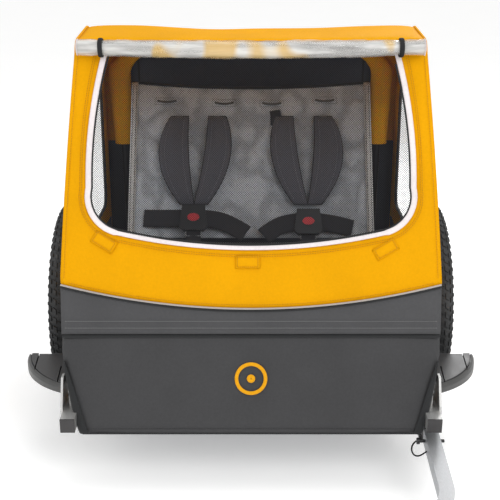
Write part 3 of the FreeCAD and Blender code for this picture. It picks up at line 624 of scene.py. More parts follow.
def patches():
    """Small stitched squares on the cover, behind its hook-and-loop tabs."""
    half, rise = 0.0220, 0.0115
    for name, x, s, tilt in (("left", -0.262, 0.165, -32), ("middle", -0.006, 0.129, 0),
                             ("right", 0.240, 0.152, 30)):
        turn = math.radians(tilt)
        along = ACROSS * math.cos(turn) + UP_COVER * math.sin(turn)
        up = UP_COVER * math.cos(turn) - ACROSS * math.sin(turn)
        home = cover_point(x, s, 0.0052)
        rows = [[home + along * (half * (c / 4 - 1)) + up * (rise * (r / 2 - 1))
                 + OUT_COVER * (0.0010 if 0 < r < 4 and 0 < c < 8 else -0.0006) for c in range(9)]
                for r in range(5)]
        soft(grid(name + "_patch", rows, "yellow", cover_uv, thick=0.0008))
        edge = [home + along * (u * 0.84 * half) + up * (v * 0.78 * rise) + OUT_COVER * 0.0014
                for u, v in CORNERS]
        soft(stitches(name + "_patch_stitch", edge, "yellow_thread", OUT_COVER, 0.0036, True))


def window_trim():
    """The reflective piping round the window and the net that fills it."""
    path = resample([cover_point(x, s, 0.0058) for x, s in window_outline()][6:] +
                    [cover_point(0.262, 0.512, 0.0058)], 0.006)
    rows = []
    for n, p in enumerate(path):
        side = heading(path, n).cross(OUT_COVER)
        wide = 0.0052 if abs(p.x) > 0.24 else 0.0040
        rows.append([p + side * (wide * math.cos(a)) + OUT_COVER * (0.0019 * math.sin(a)) for a in turns(10)])
    soft(grid("window_piping_tape", rows, "reflect", cover_uv, wrap=True), "window_piping")
    lip = [cover_point(x, s, 0.0048) for x, s in window_outline(-0.0065)][6:]
    soft(tube("window_inner_lip", [lip], 0.0016, "binding"))
    outline = window_outline(0.001)
    angles = ring_angles(outline, COVER_MIDDLE, 110)
    rows = [[cover_point(x, s, 0.0016 + wrinkle((x, s), 7, 0.003, 3) * (1 - share ** 3)) for x, s in places]
            for share, places in ray_rows(None, outline, COVER_MIDDLE, angles, span(0, 1, 14)[1:])]
    item = grid("window_net", rows, "net", cover_uv, wrap=True)
    fill_middle(item, len(angles), cover_uv)
    soft(item, "front_mesh")


PANEL_UP = (COVER_FOOT - PANEL_FOOT).normalized()
PANEL_OUT = Vector((0, -PANEL_UP.z, PANEL_UP.y))
PANEL_RUN = (COVER_FOOT - PANEL_FOOT).length


def panel_point(x, up, out):
    return PANEL_FOOT + ACROSS * x + PANEL_UP * up + PANEL_OUT * out


def panel_uv(p):
    return (p.x, (p - PANEL_FOOT).dot(PANEL_UP))


def panel_half(share):
    """Half the lower front panel's width at a share of its height."""
    return 0.299 + 0.0365 * min(1.0, share / 0.82) ** 0.8


def grey_front():
    """The grey band under the hem, the lower front panel and its bound edges."""
    rows = []
    for r in range(13):
        rows.append([])
        for side in span(-1, 1, 60):
            top = hem_height(side * COVER_HALF, 0.001)
            s = 0.001 + (top - 0.001) * r / 12
            x = side * (0.336 + 0.003 * r / 12)
            slack = math.sin(math.pi * r / 12)
            rows[-1].append(cover_point(x, s, 0.003 + wrinkle((x, s), 8, 0.003, 11) * slack))
    item = grid("grey_front_band", rows, "band", cover_uv, thick=0.0016)
    soft(item, "grey_band")
    for n, s in enumerate((0.012, 0.024)):
        path = [cover_point(x, s, 0.0056) for x in span(-0.330, 0.330, 30)]
        soft(stitches(f"band_stitch_{n}", path, "grey_thread", OUT_COVER))
    # The second cord is a dark line under the piping, drawn as its painted shadow.
    for name, node, material, lift, radius in (
            ("hem_piping_cord", "hem_piping", "hem_tape", 0.0, 0.0018),
            ("hem_shadow_cord", None, "binding", 0.0040, 0.0014)):
        path = [cover_point(x, hem_height(x, lift), 0.0052) for x in span(-HEM_HALF, HEM_HALF, 60)]
        soft(tube(name, [path], radius, material), node)
    rows = []
    for share in span(0, 1, 24):
        rows.append([])
        for side in span(-1, 1, 64):
            x = side * panel_half(share)
            sag = wrinkle((x, share * PANEL_RUN), 6, 0.004, 21) * math.sin(math.pi * share)
            tuck = -0.006 * abs(side) ** 10
            rows[-1].append(panel_point(x, share * PANEL_RUN * 0.985, 0.0035 + sag + tuck))
    item = grid("lower_front_panel", rows, "grey", panel_uv, thick=0.0016)
    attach(item, "chassis")
    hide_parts("front_panel")
    for side, sign in SIDES.items():
        rows = []
        for r in range(25):
            share = r / 24 * 0.74
            wide = 0.0015 + 0.0115 * (1 - (r / 24) ** 2.2)
            edge = panel_half(share) * sign
            rows.append([panel_point(edge + sign * wide * (0.45 - k / 6 * 1.35), share * PANEL_RUN,
                                     0.0045 + 0.0016 * math.sin(math.pi * k / 6) - (0 if k else 0.006))
                         for k in range(7)])
        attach(grid(side + "_panel_binding", rows, "binding", panel_uv, thick=0.0010), "chassis")
    line = [panel_point(x, PANEL_RUN * 0.985, 0.0030) for x in span(-0.335, 0.335, 40)]
    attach(tube("panel_top_binding", [line], 0.0024, "binding"), "chassis")
    rows = [[cover_point(x, s, -0.003) for x in span(-0.331, 0.331, 30)]
            for s in (-0.016, -0.004, 0.006, 0.016)]
    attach(grid("panel_gap_lining", rows, "binding", panel_uv, thick=0.0010), "chassis")
    line = [panel_point(x, 0, 0.0030) for x in span(-0.299, 0.299, 40)]
    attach(tube("panel_foot_binding", [line], 0.0015, "binding"), "chassis")
    line = [panel_point(x, 0.009, 0.0050) for x in span(-0.29, 0.29, 30)]
    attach(stitches("panel_foot_stitch", line, "binding", PANEL_OUT), "chassis")
    for name, count, radii in (("ring", 48, (0.0225, 0.0290)), ("hub", 24, (0.0008, 0.0075))):
        rows = [[panel_point(r * math.cos(a), 0.098 + r * math.sin(a), 0.0062) for a in turns(count)]
                for r in radii]
        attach(grid("plain_mark_" + name, rows, "mark", uv_xz, wrap=True, thick=0.0005), "chassis")


# ---- roof, sides and rear --------------------------------------------------------------------

def smooth_profile(points, rounding, count=8):
    """A polyline with its corners rounded."""
    line = [points[0]]
    for a, b, c in zip(points, points[1:], points[2:]):
        start = b + (a - b).normalized() * rounding
        end = b + (c - b).normalized() * rounding
        for n in range(count + 1):
            t = n / count
            line.append(start * (1 - t) ** 2 + b * 2 * t * (1 - t) + end * t ** 2)
    return line + [points[-1]]


def roof():
    """The roof: one sheet over both hoops that sags between its side seams."""
    end = ROOF_REAR + (TAIL - ROOF_REAR).normalized() * 0.02
    path = smooth_profile([COVER_TOP - UP_COVER * 0.012, COVER_TOP, CREST, ROOF_REAR, end], 0.009)
    path = resample(path, 0.011)
    half = ROOF_HALF + 0.001
    rows = []
    for n, p in enumerate(path):
        rise = math.sin(math.pi * (n / (len(path) - 1)))
        rows.append([])
        for side in span(-1, 1, 60):
            x = side * half
            sag = 0.009 * (1 - side ** 2) * (0.35 + 0.65 * rise)
            fold = wrinkle((x, p.y), 7, 0.005, 31) * rise
            edge = 0.006 * abs(side) ** 16
            rows[-1].append(Vector((x, p.y, p.z + 0.0015 - sag + fold * 0.7 - edge)))
    item = grid("yellow_roof", rows, "yellow", uv_xy, thick=0.0014)
    soft(item, "roof_panel")
    for side, sign in SIDES.items():
        line = [Vector((sign * half, p.y, p.z - 0.004)) for p in path]
        soft(tube(side + "_roof_seam", [line], 0.0022, "yellow"))


def side_x(z):
    """Half the body's width at a height."""
    return FOOT_HALF + (ROOF_HALF - FOOT_HALF) * (z - 0.165) / 0.595


# Outlines in side view, as (station, height).
SIDE_EDGE = [(0.716, 0.150), (0.720, 0.182), (0.628, 0.711), (0.420, 0.768), (0.288, 0.757),
             (0.080, 0.271), (0.062, 0.215), (0.068, 0.178), (0.250, 0.160)]
SIDE_SEAMS = (((0.080, 0.276), (0.284, 0.752)), ((0.628, 0.708), (0.722, 0.186)))
WINDOW_EDGE = [(0.610, 0.347), (0.625, 0.353), (0.630, 0.372), (0.592, 0.600), (0.582, 0.619),
               (0.560, 0.628), (0.318, 0.628), (0.292, 0.616), (0.276, 0.590), (0.190, 0.362),
               (0.195, 0.351), (0.206, 0.347)]


def wall_point(sign, y, z, out):
    return Vector((sign * (side_x(z) + out), y, z))


def sides():
    """Side walls: yellow above, grey below, with a clear window sewn in."""
    angles = ring_angles(SIDE_EDGE, SIDE_MIDDLE, 110)
    corners = zip(WINDOW_EDGE, WINDOW_EDGE[1:] + WINDOW_EDGE[:1])
    area = abs(sum(a[0] * b[1] - b[0] * a[1] for a, b in corners)) / 2
    for side, sign in SIDES.items():
        rows = []
        for share, places in ray_rows(WINDOW_EDGE, SIDE_EDGE, SIDE_MIDDLE, angles, span(0, 1, 14)):
            slack = math.sin(math.pi * share)
            rows.append([wall_point(sign, y, z, 0.001 + slack * wrinkle((y, z), 8, 0.005, 41 + sign))
                         for y, z in places])
        item = grid(side + "_side_wall", rows, "yellow", uv_yz, wrap=True, thick=0.0014)
        item.data.materials.append(M["grey"])
        cut(item, (0, 0, COLOUR_LINE), (0, 0, 1))
        for face in item.data.polygons:
            if face.center.z < COLOUR_LINE:
                face.material_index = 1
        soft(item, side + "_side_cover")
        shares = [share * 1.02 for share in span(0, 1, 10)[1:]]
        rows = [[wall_point(sign, y, z, -0.0014 + wrinkle((y, z), 12, 0.004, 51) * (1 - share ** 4))
                 for y, z in places]
                for share, places in ray_rows(None, WINDOW_EDGE, SIDE_MIDDLE, angles, shares)]
        pane = grid(side + "_window_pane", rows, "window", uv_yz, wrap=True)
        fill_middle(pane, len(angles))
        soft(pane, "side_windows" if sign > 0 else None)
        edge = resample([wall_point(sign, y, z, 0.0022) for y, z in WINDOW_EDGE], 0.006, True)
        soft(tube(side + "_window_binding", [edge], 0.0034, "binding", True))
        for n, (low, high) in enumerate(SIDE_SEAMS):
            path = [wall_point(sign, y, z, 0.0014)
                    for y, z in zip(*(span(a, b, 20) for a, b in zip(low, high)))]
            soft(tube(f"{side}_wall_seam_{n}", [path], 0.0022, "yellow"))


# The rear wall's yellow strips: their inner edge's distance from the middle and the height where
# that holds, the strips' lower end, and how fast the edge moves outward below.
STRIP_HALF, STRIP_TOP, STRIP_FOOT, STRIP_TAPER = 0.268, 0.70, 0.486, 0.095
# The rear flap's half width, its upper and lower edge, and how far it follows the wall's wrinkles.
FLAP_HALF, FLAP_TOP, FLAP_FOOT, FLAP_SLACK = 0.245, 0.690, 0.250, 0.85


def rear():
    """The rear cover: dark cloth with yellow side strips and a bound flap."""
    path = resample(smooth_profile([ROOF_REAR + Vector((0, 0, -0.004)), TAIL, REAR_FOOT], 0.02), 0.016)
    rows = []
    for n, p in enumerate(path):
        slack = math.sin(math.pi * (n / (len(path) - 1)))
        rows.append([])
        for side in span(-1, 1, 48):
            x = side * (side_x(p.z) + 0.0005)
            back = 0.001 + wrinkle((x, p.z), 7, 0.006, 61) * slack * (1 - side ** 6)
            rows[-1].append(Vector((x, p.y + back, p.z)))
    item = grid("rear_wall", rows, "dark", uv_xz, thick=0.0014)
    item.data.materials.append(M["yellow"])
    cut(item, (0, 0, STRIP_FOOT), (0, 0, 1))
    for sign in SIDES.values():
        cut(item, (sign * STRIP_HALF, 0, STRIP_TOP), (1, 0, sign * STRIP_TAPER))
    for face in item.data.polygons:
        inner = STRIP_HALF + (STRIP_TOP - face.center.z) * STRIP_TAPER
        if abs(face.center.x) > inner and face.center.z > STRIP_FOOT:
            face.material_index = 1
    soft(item, "rear_cover")

    def on_wall(x, height, out):
        spot = next((a.lerp(b, (a.z - height) / (a.z - b.z)) for a, b in zip(path, path[1:])
                     if a.z >= height > b.z), path[-1])
        back = 0.001 + wrinkle((x, spot.z), 7, 0.006, 61) * FLAP_SLACK
        return Vector((x, spot.y + back + out, spot.z))

    for name, inset, size, lift, material in (("rear_flap_binding", 0.0, 0.0030, 0.0010, "binding"),
                                              ("rear_flap_piping", 0.011, 0.0013, 0.0012, "hem_tape")):
        half, foot = FLAP_HALF - inset, FLAP_FOOT + inset
        corner = arc((half, foot + 0.04), (half - 0.0117, foot + 0.0117), (half - 0.04, foot), 8)
        edge = [(half, FLAP_TOP - 0.012 * n) for n in range(round((FLAP_TOP - foot - 0.04) / 0.012))] + corner
        edge += [(half - 0.04 - 0.012 * n, foot) for n in range(1, round((half - 0.04) / 0.012))]
        line = [on_wall(x, z, lift) for x, z in edge + [(-x, z) for x, z in reversed(edge)]]
        soft(tube(name, [line], size, material))
    for side, sign in SIDES.items():
        strap = [on_wall(sign * 0.15, FLAP_FOOT + 0.055 - 0.006 * n, 0.0028) for n in range(22)]
        soft(ribbon(side + "_flap_strap", strap, 0.022, "web", 0.0014, Vector((0, 1, 0))))


# ---- the rolled rain cover -------------------------------------------------------------------

ROLL = sum(box("rain_cover_roll"), Vector()) / 2
ROLL_HALF = 0.310  # half the rolled vinyl's length
LOOP_TRACK = 0.268  # the elastic loops' distance from the middle


def roll_place(x):
    """Centre and radius of the rolled vinyl at a place across: slack in the middle."""
    slack = 1 - (x / ROLL_HALF) ** 2
    pinch = 0.0016 * math.exp(-((abs(x) - LOOP_TRACK) / 0.010) ** 2)
    radius = 0.0150 + 0.0026 * slack - pinch
    return Vector((x, ROLL.y, ROLL.z - 0.0005 - 0.0042 * slack)), radius


def rain_roll():
    """Clear vinyl rolled up on itself, creased along its length, and held by two elastic loops."""
    rounds, per_round, core, steps = 7.5, 22, 0.0032, 170
    spots = round(rounds * per_round)

    def wound(x, k):
        """A point of the vinyl: k counts along the winding from the core outward."""
        home, radius = roll_place(x)
        share = k / spots
        a = 2 * math.pi * (rounds * share) - 2.0
        r = core + (radius - core) * share
        ruck = noise.noise(Vector((x * 16, math.cos(a) * 2.2, math.sin(a) * 2.2 + 5))) * 0.0020
        ruck -= abs(noise.noise(Vector((x * 55, math.cos(a) * 5, math.sin(a) * 5)))) * 0.0016
        ruck += noise.noise(Vector((x * 5, math.cos(a + x * 6) * 6, math.sin(a + x * 6) * 6))) * 0.0012
        r += ruck * share
        return home + Vector((0, math.cos(a) * r, math.sin(a) * r))

    rows = [[wound(x, k) for k in range(spots + 1)] for x in span(-ROLL_HALF, ROLL_HALF, steps)]
    item = grid("rolled_rain_cover", rows, "roll", uv_xz)
    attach(item, "front_frame")
    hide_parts("rain_cover_roll")
    for side, end in (("left", rows[0]), ("right", rows[-1])):
        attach(tube(side + "_roll_hem", [end[spots // 3:]], 0.0011, "roll_hem"), "front_frame")
    for side, sign in SIDES.items():
        home, radius = roll_place(sign * LOOP_TRACK)
        rows = [[home + spoke(a) * (radius + 0.0019 + 0.0014 * math.sin(b)) +
                 ACROSS * (0.0042 * math.cos(b)) for b in turns(10)] for a in turns(48)]
        loop = grid(side + "_elastic_loop", rows + rows[:1], "elastic", uv_xz, wrap=True)
        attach(loop, "front_frame")
        if sign > 0:
            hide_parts("roll_loops")


# ---- seat and harness ------------------------------------------------------------------------

def seat_point(x, up, out=0.0):
    return SEAT_FOOT + ACROSS * x + SEAT_UP * up + SEAT_OUT * out


def seat_uv(p):
    return (p.x, (p - SEAT_FOOT).dot(SEAT_UP))


def seat_soft(item, node=None):
    """A piece of the seat back or harness, fixed to the chassis like the other cloth."""
    soft(item, node)


def seat_back():
    """The seat back: a slack grey sheet with a stitched border and four strap slots."""
    rows = []
    for r in range(53):
        rows.append([])
        for side in span(-1, 1, 72):
            up = 0.338 * r / 52 - 0.013 * (1 - side ** 2) * (r / 52) ** 3
            x = side * SEAT_HALF
            slack = math.sin(math.pi * min(r / 46, 1.0)) * (1 - side ** 8)
            out = wrinkle((x, up), 11, 0.007, 71) * slack
            out += noise.noise(Vector((x * 24 + up * 30, up * 16 - x * 9, 3.0))) * 0.0060 * slack
            out -= abs(noise.noise(Vector((x * 30 + up * 14, up * 18, 8.0)))) * 0.0090 * slack
            out -= abs(noise.noise(Vector((x * 18 - up * 24, up * 26 + x * 12, 14.0)))) * 0.0070 * slack
            for middle in (-CHILD_PLACE, CHILD_PLACE):
                out -= 0.006 * math.exp(-(((x - middle) / 0.09) ** 2 + ((up - 0.16) / 0.11) ** 2))
            rows[-1].append(seat_point(x, up, min(0.0035, out)))
    item = grid("seat_back_sheet", rows, "seat", seat_uv, thick=0.0022)
    seat_soft(item, "seat_back")
    for side, sign in SIDES.items():
        rows = [[seat_point(sign * (SEAT_EDGE - 0.0135 * c / 4), 0.336 * r / 30,
                            0.0036 + 0.0012 * math.sin(math.pi * c / 4)) for c in range(5)]
                for r in range(31)]
        seat_soft(grid(side + "_seat_border", rows, "seat_trim", seat_uv, thick=0.0010))
        for n, inset in enumerate((0.0030, 0.0105)):
            path = [seat_point(sign * (SEAT_EDGE - inset), up, 0.0056) for up in span(0.01, 0.33, 20)]
            seat_soft(stitches(f"{side}_seat_stitch_{n}", path, "thread", SEAT_OUT, 0.006, radius=0.0006))
    top = [seat_point(side * SEAT_HALF, 0.3375 - 0.013 * (1 - side ** 2), 0.0020) for side in span(-1, 1, 40)]
    seat_soft(tube("seat_back_top_binding", [top], 0.0030, "binding"))
    # Each slot is a darker grey lens: painted shade in the opening, with the dark webbing that comes through
    # it.
    for n, (x, up) in enumerate(((-0.176, 0.296), (-0.056, 0.292), (0.044, 0.291), (0.155, 0.298))):
        rows = [[seat_point(x + side * 0.020, up - 0.0035 * (1 - side ** 2) + 0.0024 * math.sin(b),
                            0.0034 + 0.0012 * math.cos(b)) for b in turns(10)] for side in span(-1, 1, 12)]
        seat_soft(grid(f"strap_slot_{n}", rows, "slot_shade", seat_uv, wrap=True))
        edge = [seat_point(x + u * 0.025, up - 0.002 + v * 0.0075, 0.0046) for u, v in CORNERS]
        seat_soft(stitches(f"strap_slot_stitch_{n}", edge, "grey_thread", SEAT_OUT, 0.005, True))


def through(a, m, b, t):
    """A parabola through three values at t 0, 0.5 and 1."""
    return a * (1 - t) * (1 - 2 * t) + m * 4 * t * (1 - t) + b * t * (2 * t - 1)


def shoulder_pad(name, middle, top, low=0.068, high=0.258):
    """A padded shoulder strap that bows out between the buckle and the seat back."""
    away = 1 if top > middle else -1
    foot = middle + away * 0.014
    outer = (foot + away * 0.014, middle + away * 0.072, top + away * 0.018)
    inner = (foot - away * 0.014, (foot + top) / 2 - away * 0.011, top - away * 0.018)
    steps = 40

    def place(t):
        """The strap's inner and outer edge, its height on the seat back and its stand-off."""
        return (through(*inner, t), through(*outer, t), low + (high - low) * t,
                0.011 + 0.004 * math.sin(math.pi * t))

    rows, edge_out, edge_in = [], [], []
    for t in span(0, 1, steps):
        a, b, up, rise = place(t)
        lump = noise.noise(Vector((middle * 30, up * 26, away))) * 0.0012
        thick = 0.0070 * min(1.0, math.sin(math.pi * min(t * 4, 0.5)) + 0.12,
                             math.sin(math.pi * min((1 - t) * 5, 0.5)) + 0.12)
        rows.append([])
        for turn in turns(24):
            across, deep = power(math.cos(turn), 0.8), power(math.sin(turn), 0.75)
            channel = 0.0016 * math.exp(-((abs(across) - 0.62) / 0.10) ** 2) if deep > 0 else 0
            x = (a + b) / 2 + (b - a) / 2 * across
            rows[-1].append(seat_point(x, up, rise + deep * (thick + lump) - channel))
        edge_out.append(seat_point(b, up, rise))
        edge_in.append(seat_point(a, up, rise))
    item = grid(name, rows, "pad", seat_uv, wrap=True)
    with edited(item.data) as mesh:
        close_ends(mesh)
    seat_soft(item)
    seat_soft(tube(name + "_piping", [edge_out + edge_in[::-1]], 0.0014, "web", closed=True))
    for n, share in enumerate((0.19, 0.81)):
        path = [seat_point(a + (b - a) * share, up, rise + 0.0060)
                for a, b, up, rise in (place(t) for t in span(0, 1, steps)[2:-2])]
        seat_soft(stitches(f"{name}_stitch_{n}", path, "pad_thread", SEAT_OUT, 0.005))
    return item


def ribbon(name, points, width, material, thickness=0.0018, up_hint=None):
    """A flat strap through points, each with the way its width lies."""
    rows = []
    for n, p in enumerate(points):
        along = heading(points, n)
        side = along.cross(up_hint or SEAT_OUT).normalized()
        face = side.cross(along).normalized()
        rows.append([p + side * (u * width / 2) + face * (0.0006 * (1 - u * u)) for u in span(-1, 1, 8)])
    return grid(name, rows, material, uv_xz, thick=thickness)


def spread(corners, count=24):
    """A smooth line through control points, as points."""
    line = [Vector(c) for c in corners]
    for _ in range(3):
        finer = [line[0]]
        for a, b in zip(line, line[1:]):
            finer += [a.lerp(b, 0.25), a.lerp(b, 0.75)]
        finer.append(line[-1])
        line = finer
    return resample(line, sum((b - a).length for a, b in zip(line, line[1:])) / count)


def harness():
    """Shoulder pads, waist and crotch straps, and the small plastic adjusters."""
    pads = [shoulder_pad(name + "_shoulder_pad", middle, top) for name, middle, top in (
        ("left_outer", -CHILD_PLACE, -0.148), ("left_inner", -CHILD_PLACE, -0.070),
        ("right_inner", CHILD_PLACE, 0.070), ("right_outer", CHILD_PLACE, 0.150))]
    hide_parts("shoulder_pads")
    tab = [seat_point(0.052, 0.240, 0.006), seat_point(0.052, 0.262, 0.008), seat_point(0.050, 0.274, 0.003)]
    seat_soft(ribbon("loose_strap_tab", spread(tab, 10), 0.022, "web"))
    straps = {
        "left_outer_waist": ((-0.218, 0.040, 0.004), (-0.180, 0.038, 0.009), (-0.132, 0.037, 0.016)),
        "left_inner_waist": ((-0.100, 0.037, 0.016), (-0.062, 0.034, 0.010), (-0.034, 0.020, 0.012),
                             (-0.010, 0.004, 0.018)),
        "right_inner_waist": ((0.100, 0.030, 0.016), (0.066, 0.026, 0.012), (0.044, 0.014, 0.014),
                              (0.026, -0.002, 0.020)),
        "right_outer_waist": ((0.132, 0.030, 0.016), (0.172, 0.026, 0.010), (0.206, 0.018, 0.004)),
    }
    for n, (name, corners) in enumerate(straps.items()):
        item = ribbon(name + "_strap", spread([seat_point(*c) for c in corners]), 0.036, "web", 0.0026)
        seat_soft(item, None if n else "waist_straps")
    for side, x, up in (("left", -CHILD_PLACE, 0.010), ("right", CHILD_PLACE, 0.003)):
        drop = [seat_point(x, up + 0.020, 0.012), seat_point(x, up - 0.006, 0.016),
                Vector((x, 0.350, 0.343)), Vector((x, 0.320, 0.339))]
        seat_soft(ribbon(side + "_crotch_strap", spread(drop), 0.030, "web", 0.0024), None)
        home = seat_point(x, up - 0.002, 0.0190)
        line = []
        for n, (cx, cy) in enumerate(((1, 1), (-1, 1), (-1, -1), (1, -1))):
            for k in range(5):
                turn = math.radians(90 * n + 22.5 * k)
                line.append(home + ACROSS * (cx * 0.0125 + 0.003 * math.cos(turn))
                            + SEAT_UP * (cy * 0.0055 + 0.003 * math.sin(turn)))
        seat_soft(tube(side + "_strap_adjuster", [line], 0.0011, "adjuster", closed=True), None)


def seat_cushion():
    """The seat cushion: a crowned closed form, pulled in at its corners."""
    low, high = box("seat_cushion")
    middle, half = (low + high) / 2, (high - low) / 2
    square = 0.28  # a power that makes a circle nearly a rectangle
    rows = []
    for r in range(25):
        v = -math.cos(math.pi * r / 24)
        shrink = (1 - abs(v) ** 7) ** 0.4 if abs(v) < 1 else 0.0
        rows.append([])
        for a in turns(96):
            cx, sy = power(math.cos(a), square), power(math.sin(a), square)
            pull = 1 - 0.03 * (abs(cx) * abs(sy)) ** 3
            x = middle.x + half.x * 0.985 * cx * shrink * pull
            y = middle.y + half.y * 0.97 * sy * shrink * pull
            z = middle.z + half.z * (v * 0.80 if v > 0 else v)
            if v > 0.5:
                z += half.z * 0.20 * (1 - (x / half.x) ** 4) * (1 - ((y - middle.y) / half.y) ** 4)
            rows[-1].append(Vector((x, y, z)))
    item = grid("seat_cushion_pad", rows, "dark_pad", uv_xy, wrap=True)
    with edited(item.data) as mesh:
        bmesh.ops.remove_doubles(mesh, verts=mesh.verts, dist=0.0004)
    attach(item, "chassis")
    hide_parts("seat_cushion")
    rim = [Vector((middle.x + half.x * 0.986 * power(math.cos(a), square),
                   middle.y + half.y * 0.972 * power(math.sin(a), square),
                   middle.z + 0.010)) for a in turns(120)]
    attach(tube("seat_cushion_piping", [rim], 0.0020, "web", closed=True), "chassis")


# ---- wheels and guards -----------------------------------------------------------------------

def tyre(side):
    """A knobby tyre: a round casing with staggered rows of blocks."""
    low, high = box(side + "_tyre")
    centre = (low + high) / 2
    outer = (high.z - low.z) / 2
    casing = outer - 0.0030
    body_r = (high.x - low.x) / 2 - 0.0016

    def place(angle, lean, reach):
        """A point round the axle, at an angle over the tyre's section and a distance from its core."""
        return (centre + ACROSS * (reach * math.sin(lean)) +
                spoke(angle) * (casing - body_r + reach * math.cos(lean)))

    rows = [[place(a, math.radians(-138 + 276 * k / 19), body_r) for k in range(20)] for a in turns(120)]
    item = grid(side + "_tyre_casing", rows + rows[:1], "tyre", uv_yz)
    points, faces = [], []

    def block(angle, across, length, width, skew, height):
        base = len(points)
        for reach, shrink in ((body_r - 0.0012, 1.0), (body_r + height, 0.82)):
            points.extend(place(angle + (u * length / 2 * shrink + v * skew) / outer,
                                (across + v * width / 2 * shrink) / body_r, reach) for u, v in CORNERS)
        faces.extend(tuple(base + i for i in f) for f in
                     ((0, 1, 2, 3), (7, 6, 5, 4), (0, 4, 5, 1), (1, 5, 6, 2), (2, 6, 7, 3), (3, 7, 4, 0)))

    step = math.pi / 68
    for a in turns(68):
        block(a, 0.0045, 0.0115, 0.0068, 0.0020, 0.0030)
        block(a + step, -0.0045, 0.0115, 0.0068, 0.0020, 0.0030)
        for way in (-1, 1):
            block(a + step * 0.5, way * 0.0145, 0.0110, 0.0072, -0.0015 * way, 0.0032)
            block(a + step * 1.5, way * 0.0235, 0.0085, 0.0085, 0.0, 0.0016)
    knobs = make_mesh(side + "_tyre_blocks", points, faces, "tyre", smooth=False)
    for one in (item, knobs):
        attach(one, side + "_wheel")
    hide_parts(side + "_tyre")
    beads = [[centre + ACROSS * (way * x) + spoke(a) * r for a in span(0, 2 * math.pi, 90)]
             for way in (-1, 1) for r, x in ((outer - 0.030, 0.0195), (outer - 0.0345, 0.0165))]
    ribs = tube(side + "_tyre_ribs", beads, 0.0009, "tyre")
    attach(ribs, side + "_wheel")


def guard(side, sign):
    """A moulded wheel guard: a flat top, a sloping rim and slots round its face, their walls near-black as
    painted shade.
    """
    low, high = box(side + "_bumper")
    inner, outer = min(abs(low.x), abs(high.x)), max(abs(low.x), abs(high.x))
    front, rear_end, under, top = low.y, high.y, low.z, high.z
    edge = arc((outer, rear_end), (0.409, 0.149), (inner + 0.004, front), 32) + [(inner + 0.004, front)]
    face = arc((outer - 0.007, rear_end), (0.4035, 0.1535), (inner + 0.006, front + 0.007), 32)
    face += [(inner + 0.006, front + 0.007)]
    rows = []
    for n, ((ox, oy), (ix, iy)) in enumerate(zip(edge, face)):
        t = n / (len(edge) - 1)
        skirt = under + 0.0035 * min(1.0, max(0.0, (t - 0.25) / 0.7)) ** 1.3
        back = Vector((ox - ix, oy - iy, 0)).normalized()
        o, i = Vector((ox, oy, 0)), Vector((ix, iy, 0))
        section = [(Vector((inner, oy if t > 0.02 else rear_end, 0)), skirt), (o - back * 0.004, skirt),
                   (o, skirt + 0.003), (o, top - 0.0085), (o - back * 0.0012, top - 0.0062),
                   (o.lerp(i, 0.35), top - 0.0036), (o.lerp(i, 0.72), top - 0.0018),
                   (i + back * 0.0011, top - 0.0008), (i + back * 0.0005, top - 0.0036),
                   (i - back * 0.0005, top - 0.0036), (i - back * 0.0012, top - 0.0004),
                   (i - back * 0.0030, top), (Vector((inner, iy, 0)), top)]
        rows.append([Vector((sign * p.x, p.y, z)) for p, z in section])
    item = grid(side + "_wheel_guard", rows, "guard", uv_xy, wrap=True)
    # gloss is the near-black plastic that the slot cutters pass to the grooves' walls: painted shade
    for material in ("guard_rim", "gloss"):
        item.data.materials.append(M[material])
    with edited(item.data) as mesh:
        close_ends(mesh)
        for poly in mesh.faces:
            ids = sorted(v.index % len(rows[0]) for v in poly.verts)
            if len(poly.verts) == 4 and ids[0] >= 2 and ids[-1] <= 7:
                poly.material_index = 1
        bmesh.ops.recalc_face_normals(mesh, faces=mesh.faces)
    # Each slot's walls take the cutter's near-black buckle plastic: painted shade in the groove.
    shade_painting_cutters = []
    for x0, y0, x1, y1, wide in ((0.4130, rear_end + 0.002, 0.4080, 0.157, 0.0012),
                                 (0.3600, 0.168, 0.3555, 0.103, 0.0012),
                                 (0.388, rear_end - 0.0005, 0.4135, rear_end - 0.0005, 0.0030)):
        a, b = Vector((sign * x0, y0, 0)), Vector((sign * x1, y1, 0))
        along = (b - a).normalized()
        across = Vector((-along.y, along.x, 0)) * wide
        corners = [a - across, b - across, b + across, a + across]
        points = [c + Vector((0, 0, z)) for z in (top - 0.006, top + 0.004) for c in corners]
        shade_painting_cutters.append(make_mesh("shade_painting_slot_cutter", points,
                                 [(3, 2, 1, 0), (4, 5, 6, 7), (0, 1, 5, 4), (1, 2, 6, 5), (2, 3, 7, 6),
                                  (3, 0, 4, 7)], "gloss", smooth=False))
    for cutter in shade_painting_cutters:
        groove = item.modifiers.new("groove", "BOOLEAN")
        groove.operation = "DIFFERENCE"
        groove.solver = "EXACT"
        groove.material_mode = "TRANSFER"
        groove.object = cutter
    apply_modifiers(item)
    for cutter in shade_painting_cutters:
        bpy.data.objects.remove(cutter)
    item.data.polygons.foreach_set("use_smooth", [False] * len(item.data.polygons))
    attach(item, "chassis")
    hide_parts(side + "_bumper")


# ---- lanyard ---------------------------------------------------------------------------------

# The lock pin's cord from the pin to the arm's side: the points that steer its droop.
LANYARD = [(0.2942, 0.0181, 0.0906), (0.2882, 0.0151, 0.0876), (0.2842, 0.0091, 0.0796),
           (0.2872, 0.0011, 0.0726), (0.2942, -0.0059, 0.0736), (0.3012, -0.0109, 0.0806),
           (0.3077, -0.0127, 0.0875)]


def lanyard():
    """The lock pin's cord, which droops from the pin to the arm's side."""
    item = curve("lanyard_route", "NURBS", [LANYARD])
    item.data.resolution_u = 12
    route = item.data.splines[0]
    route.order_u = 3
    route.use_endpoint_u = True
    path = [v.co.copy() for v in evaluated(item).vertices]
    bpy.data.objects.remove(item)
    cord = tube("lock_pin_lanyard", [path], 0.0015, "elastic")
    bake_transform(cord)
    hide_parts("lanyard")


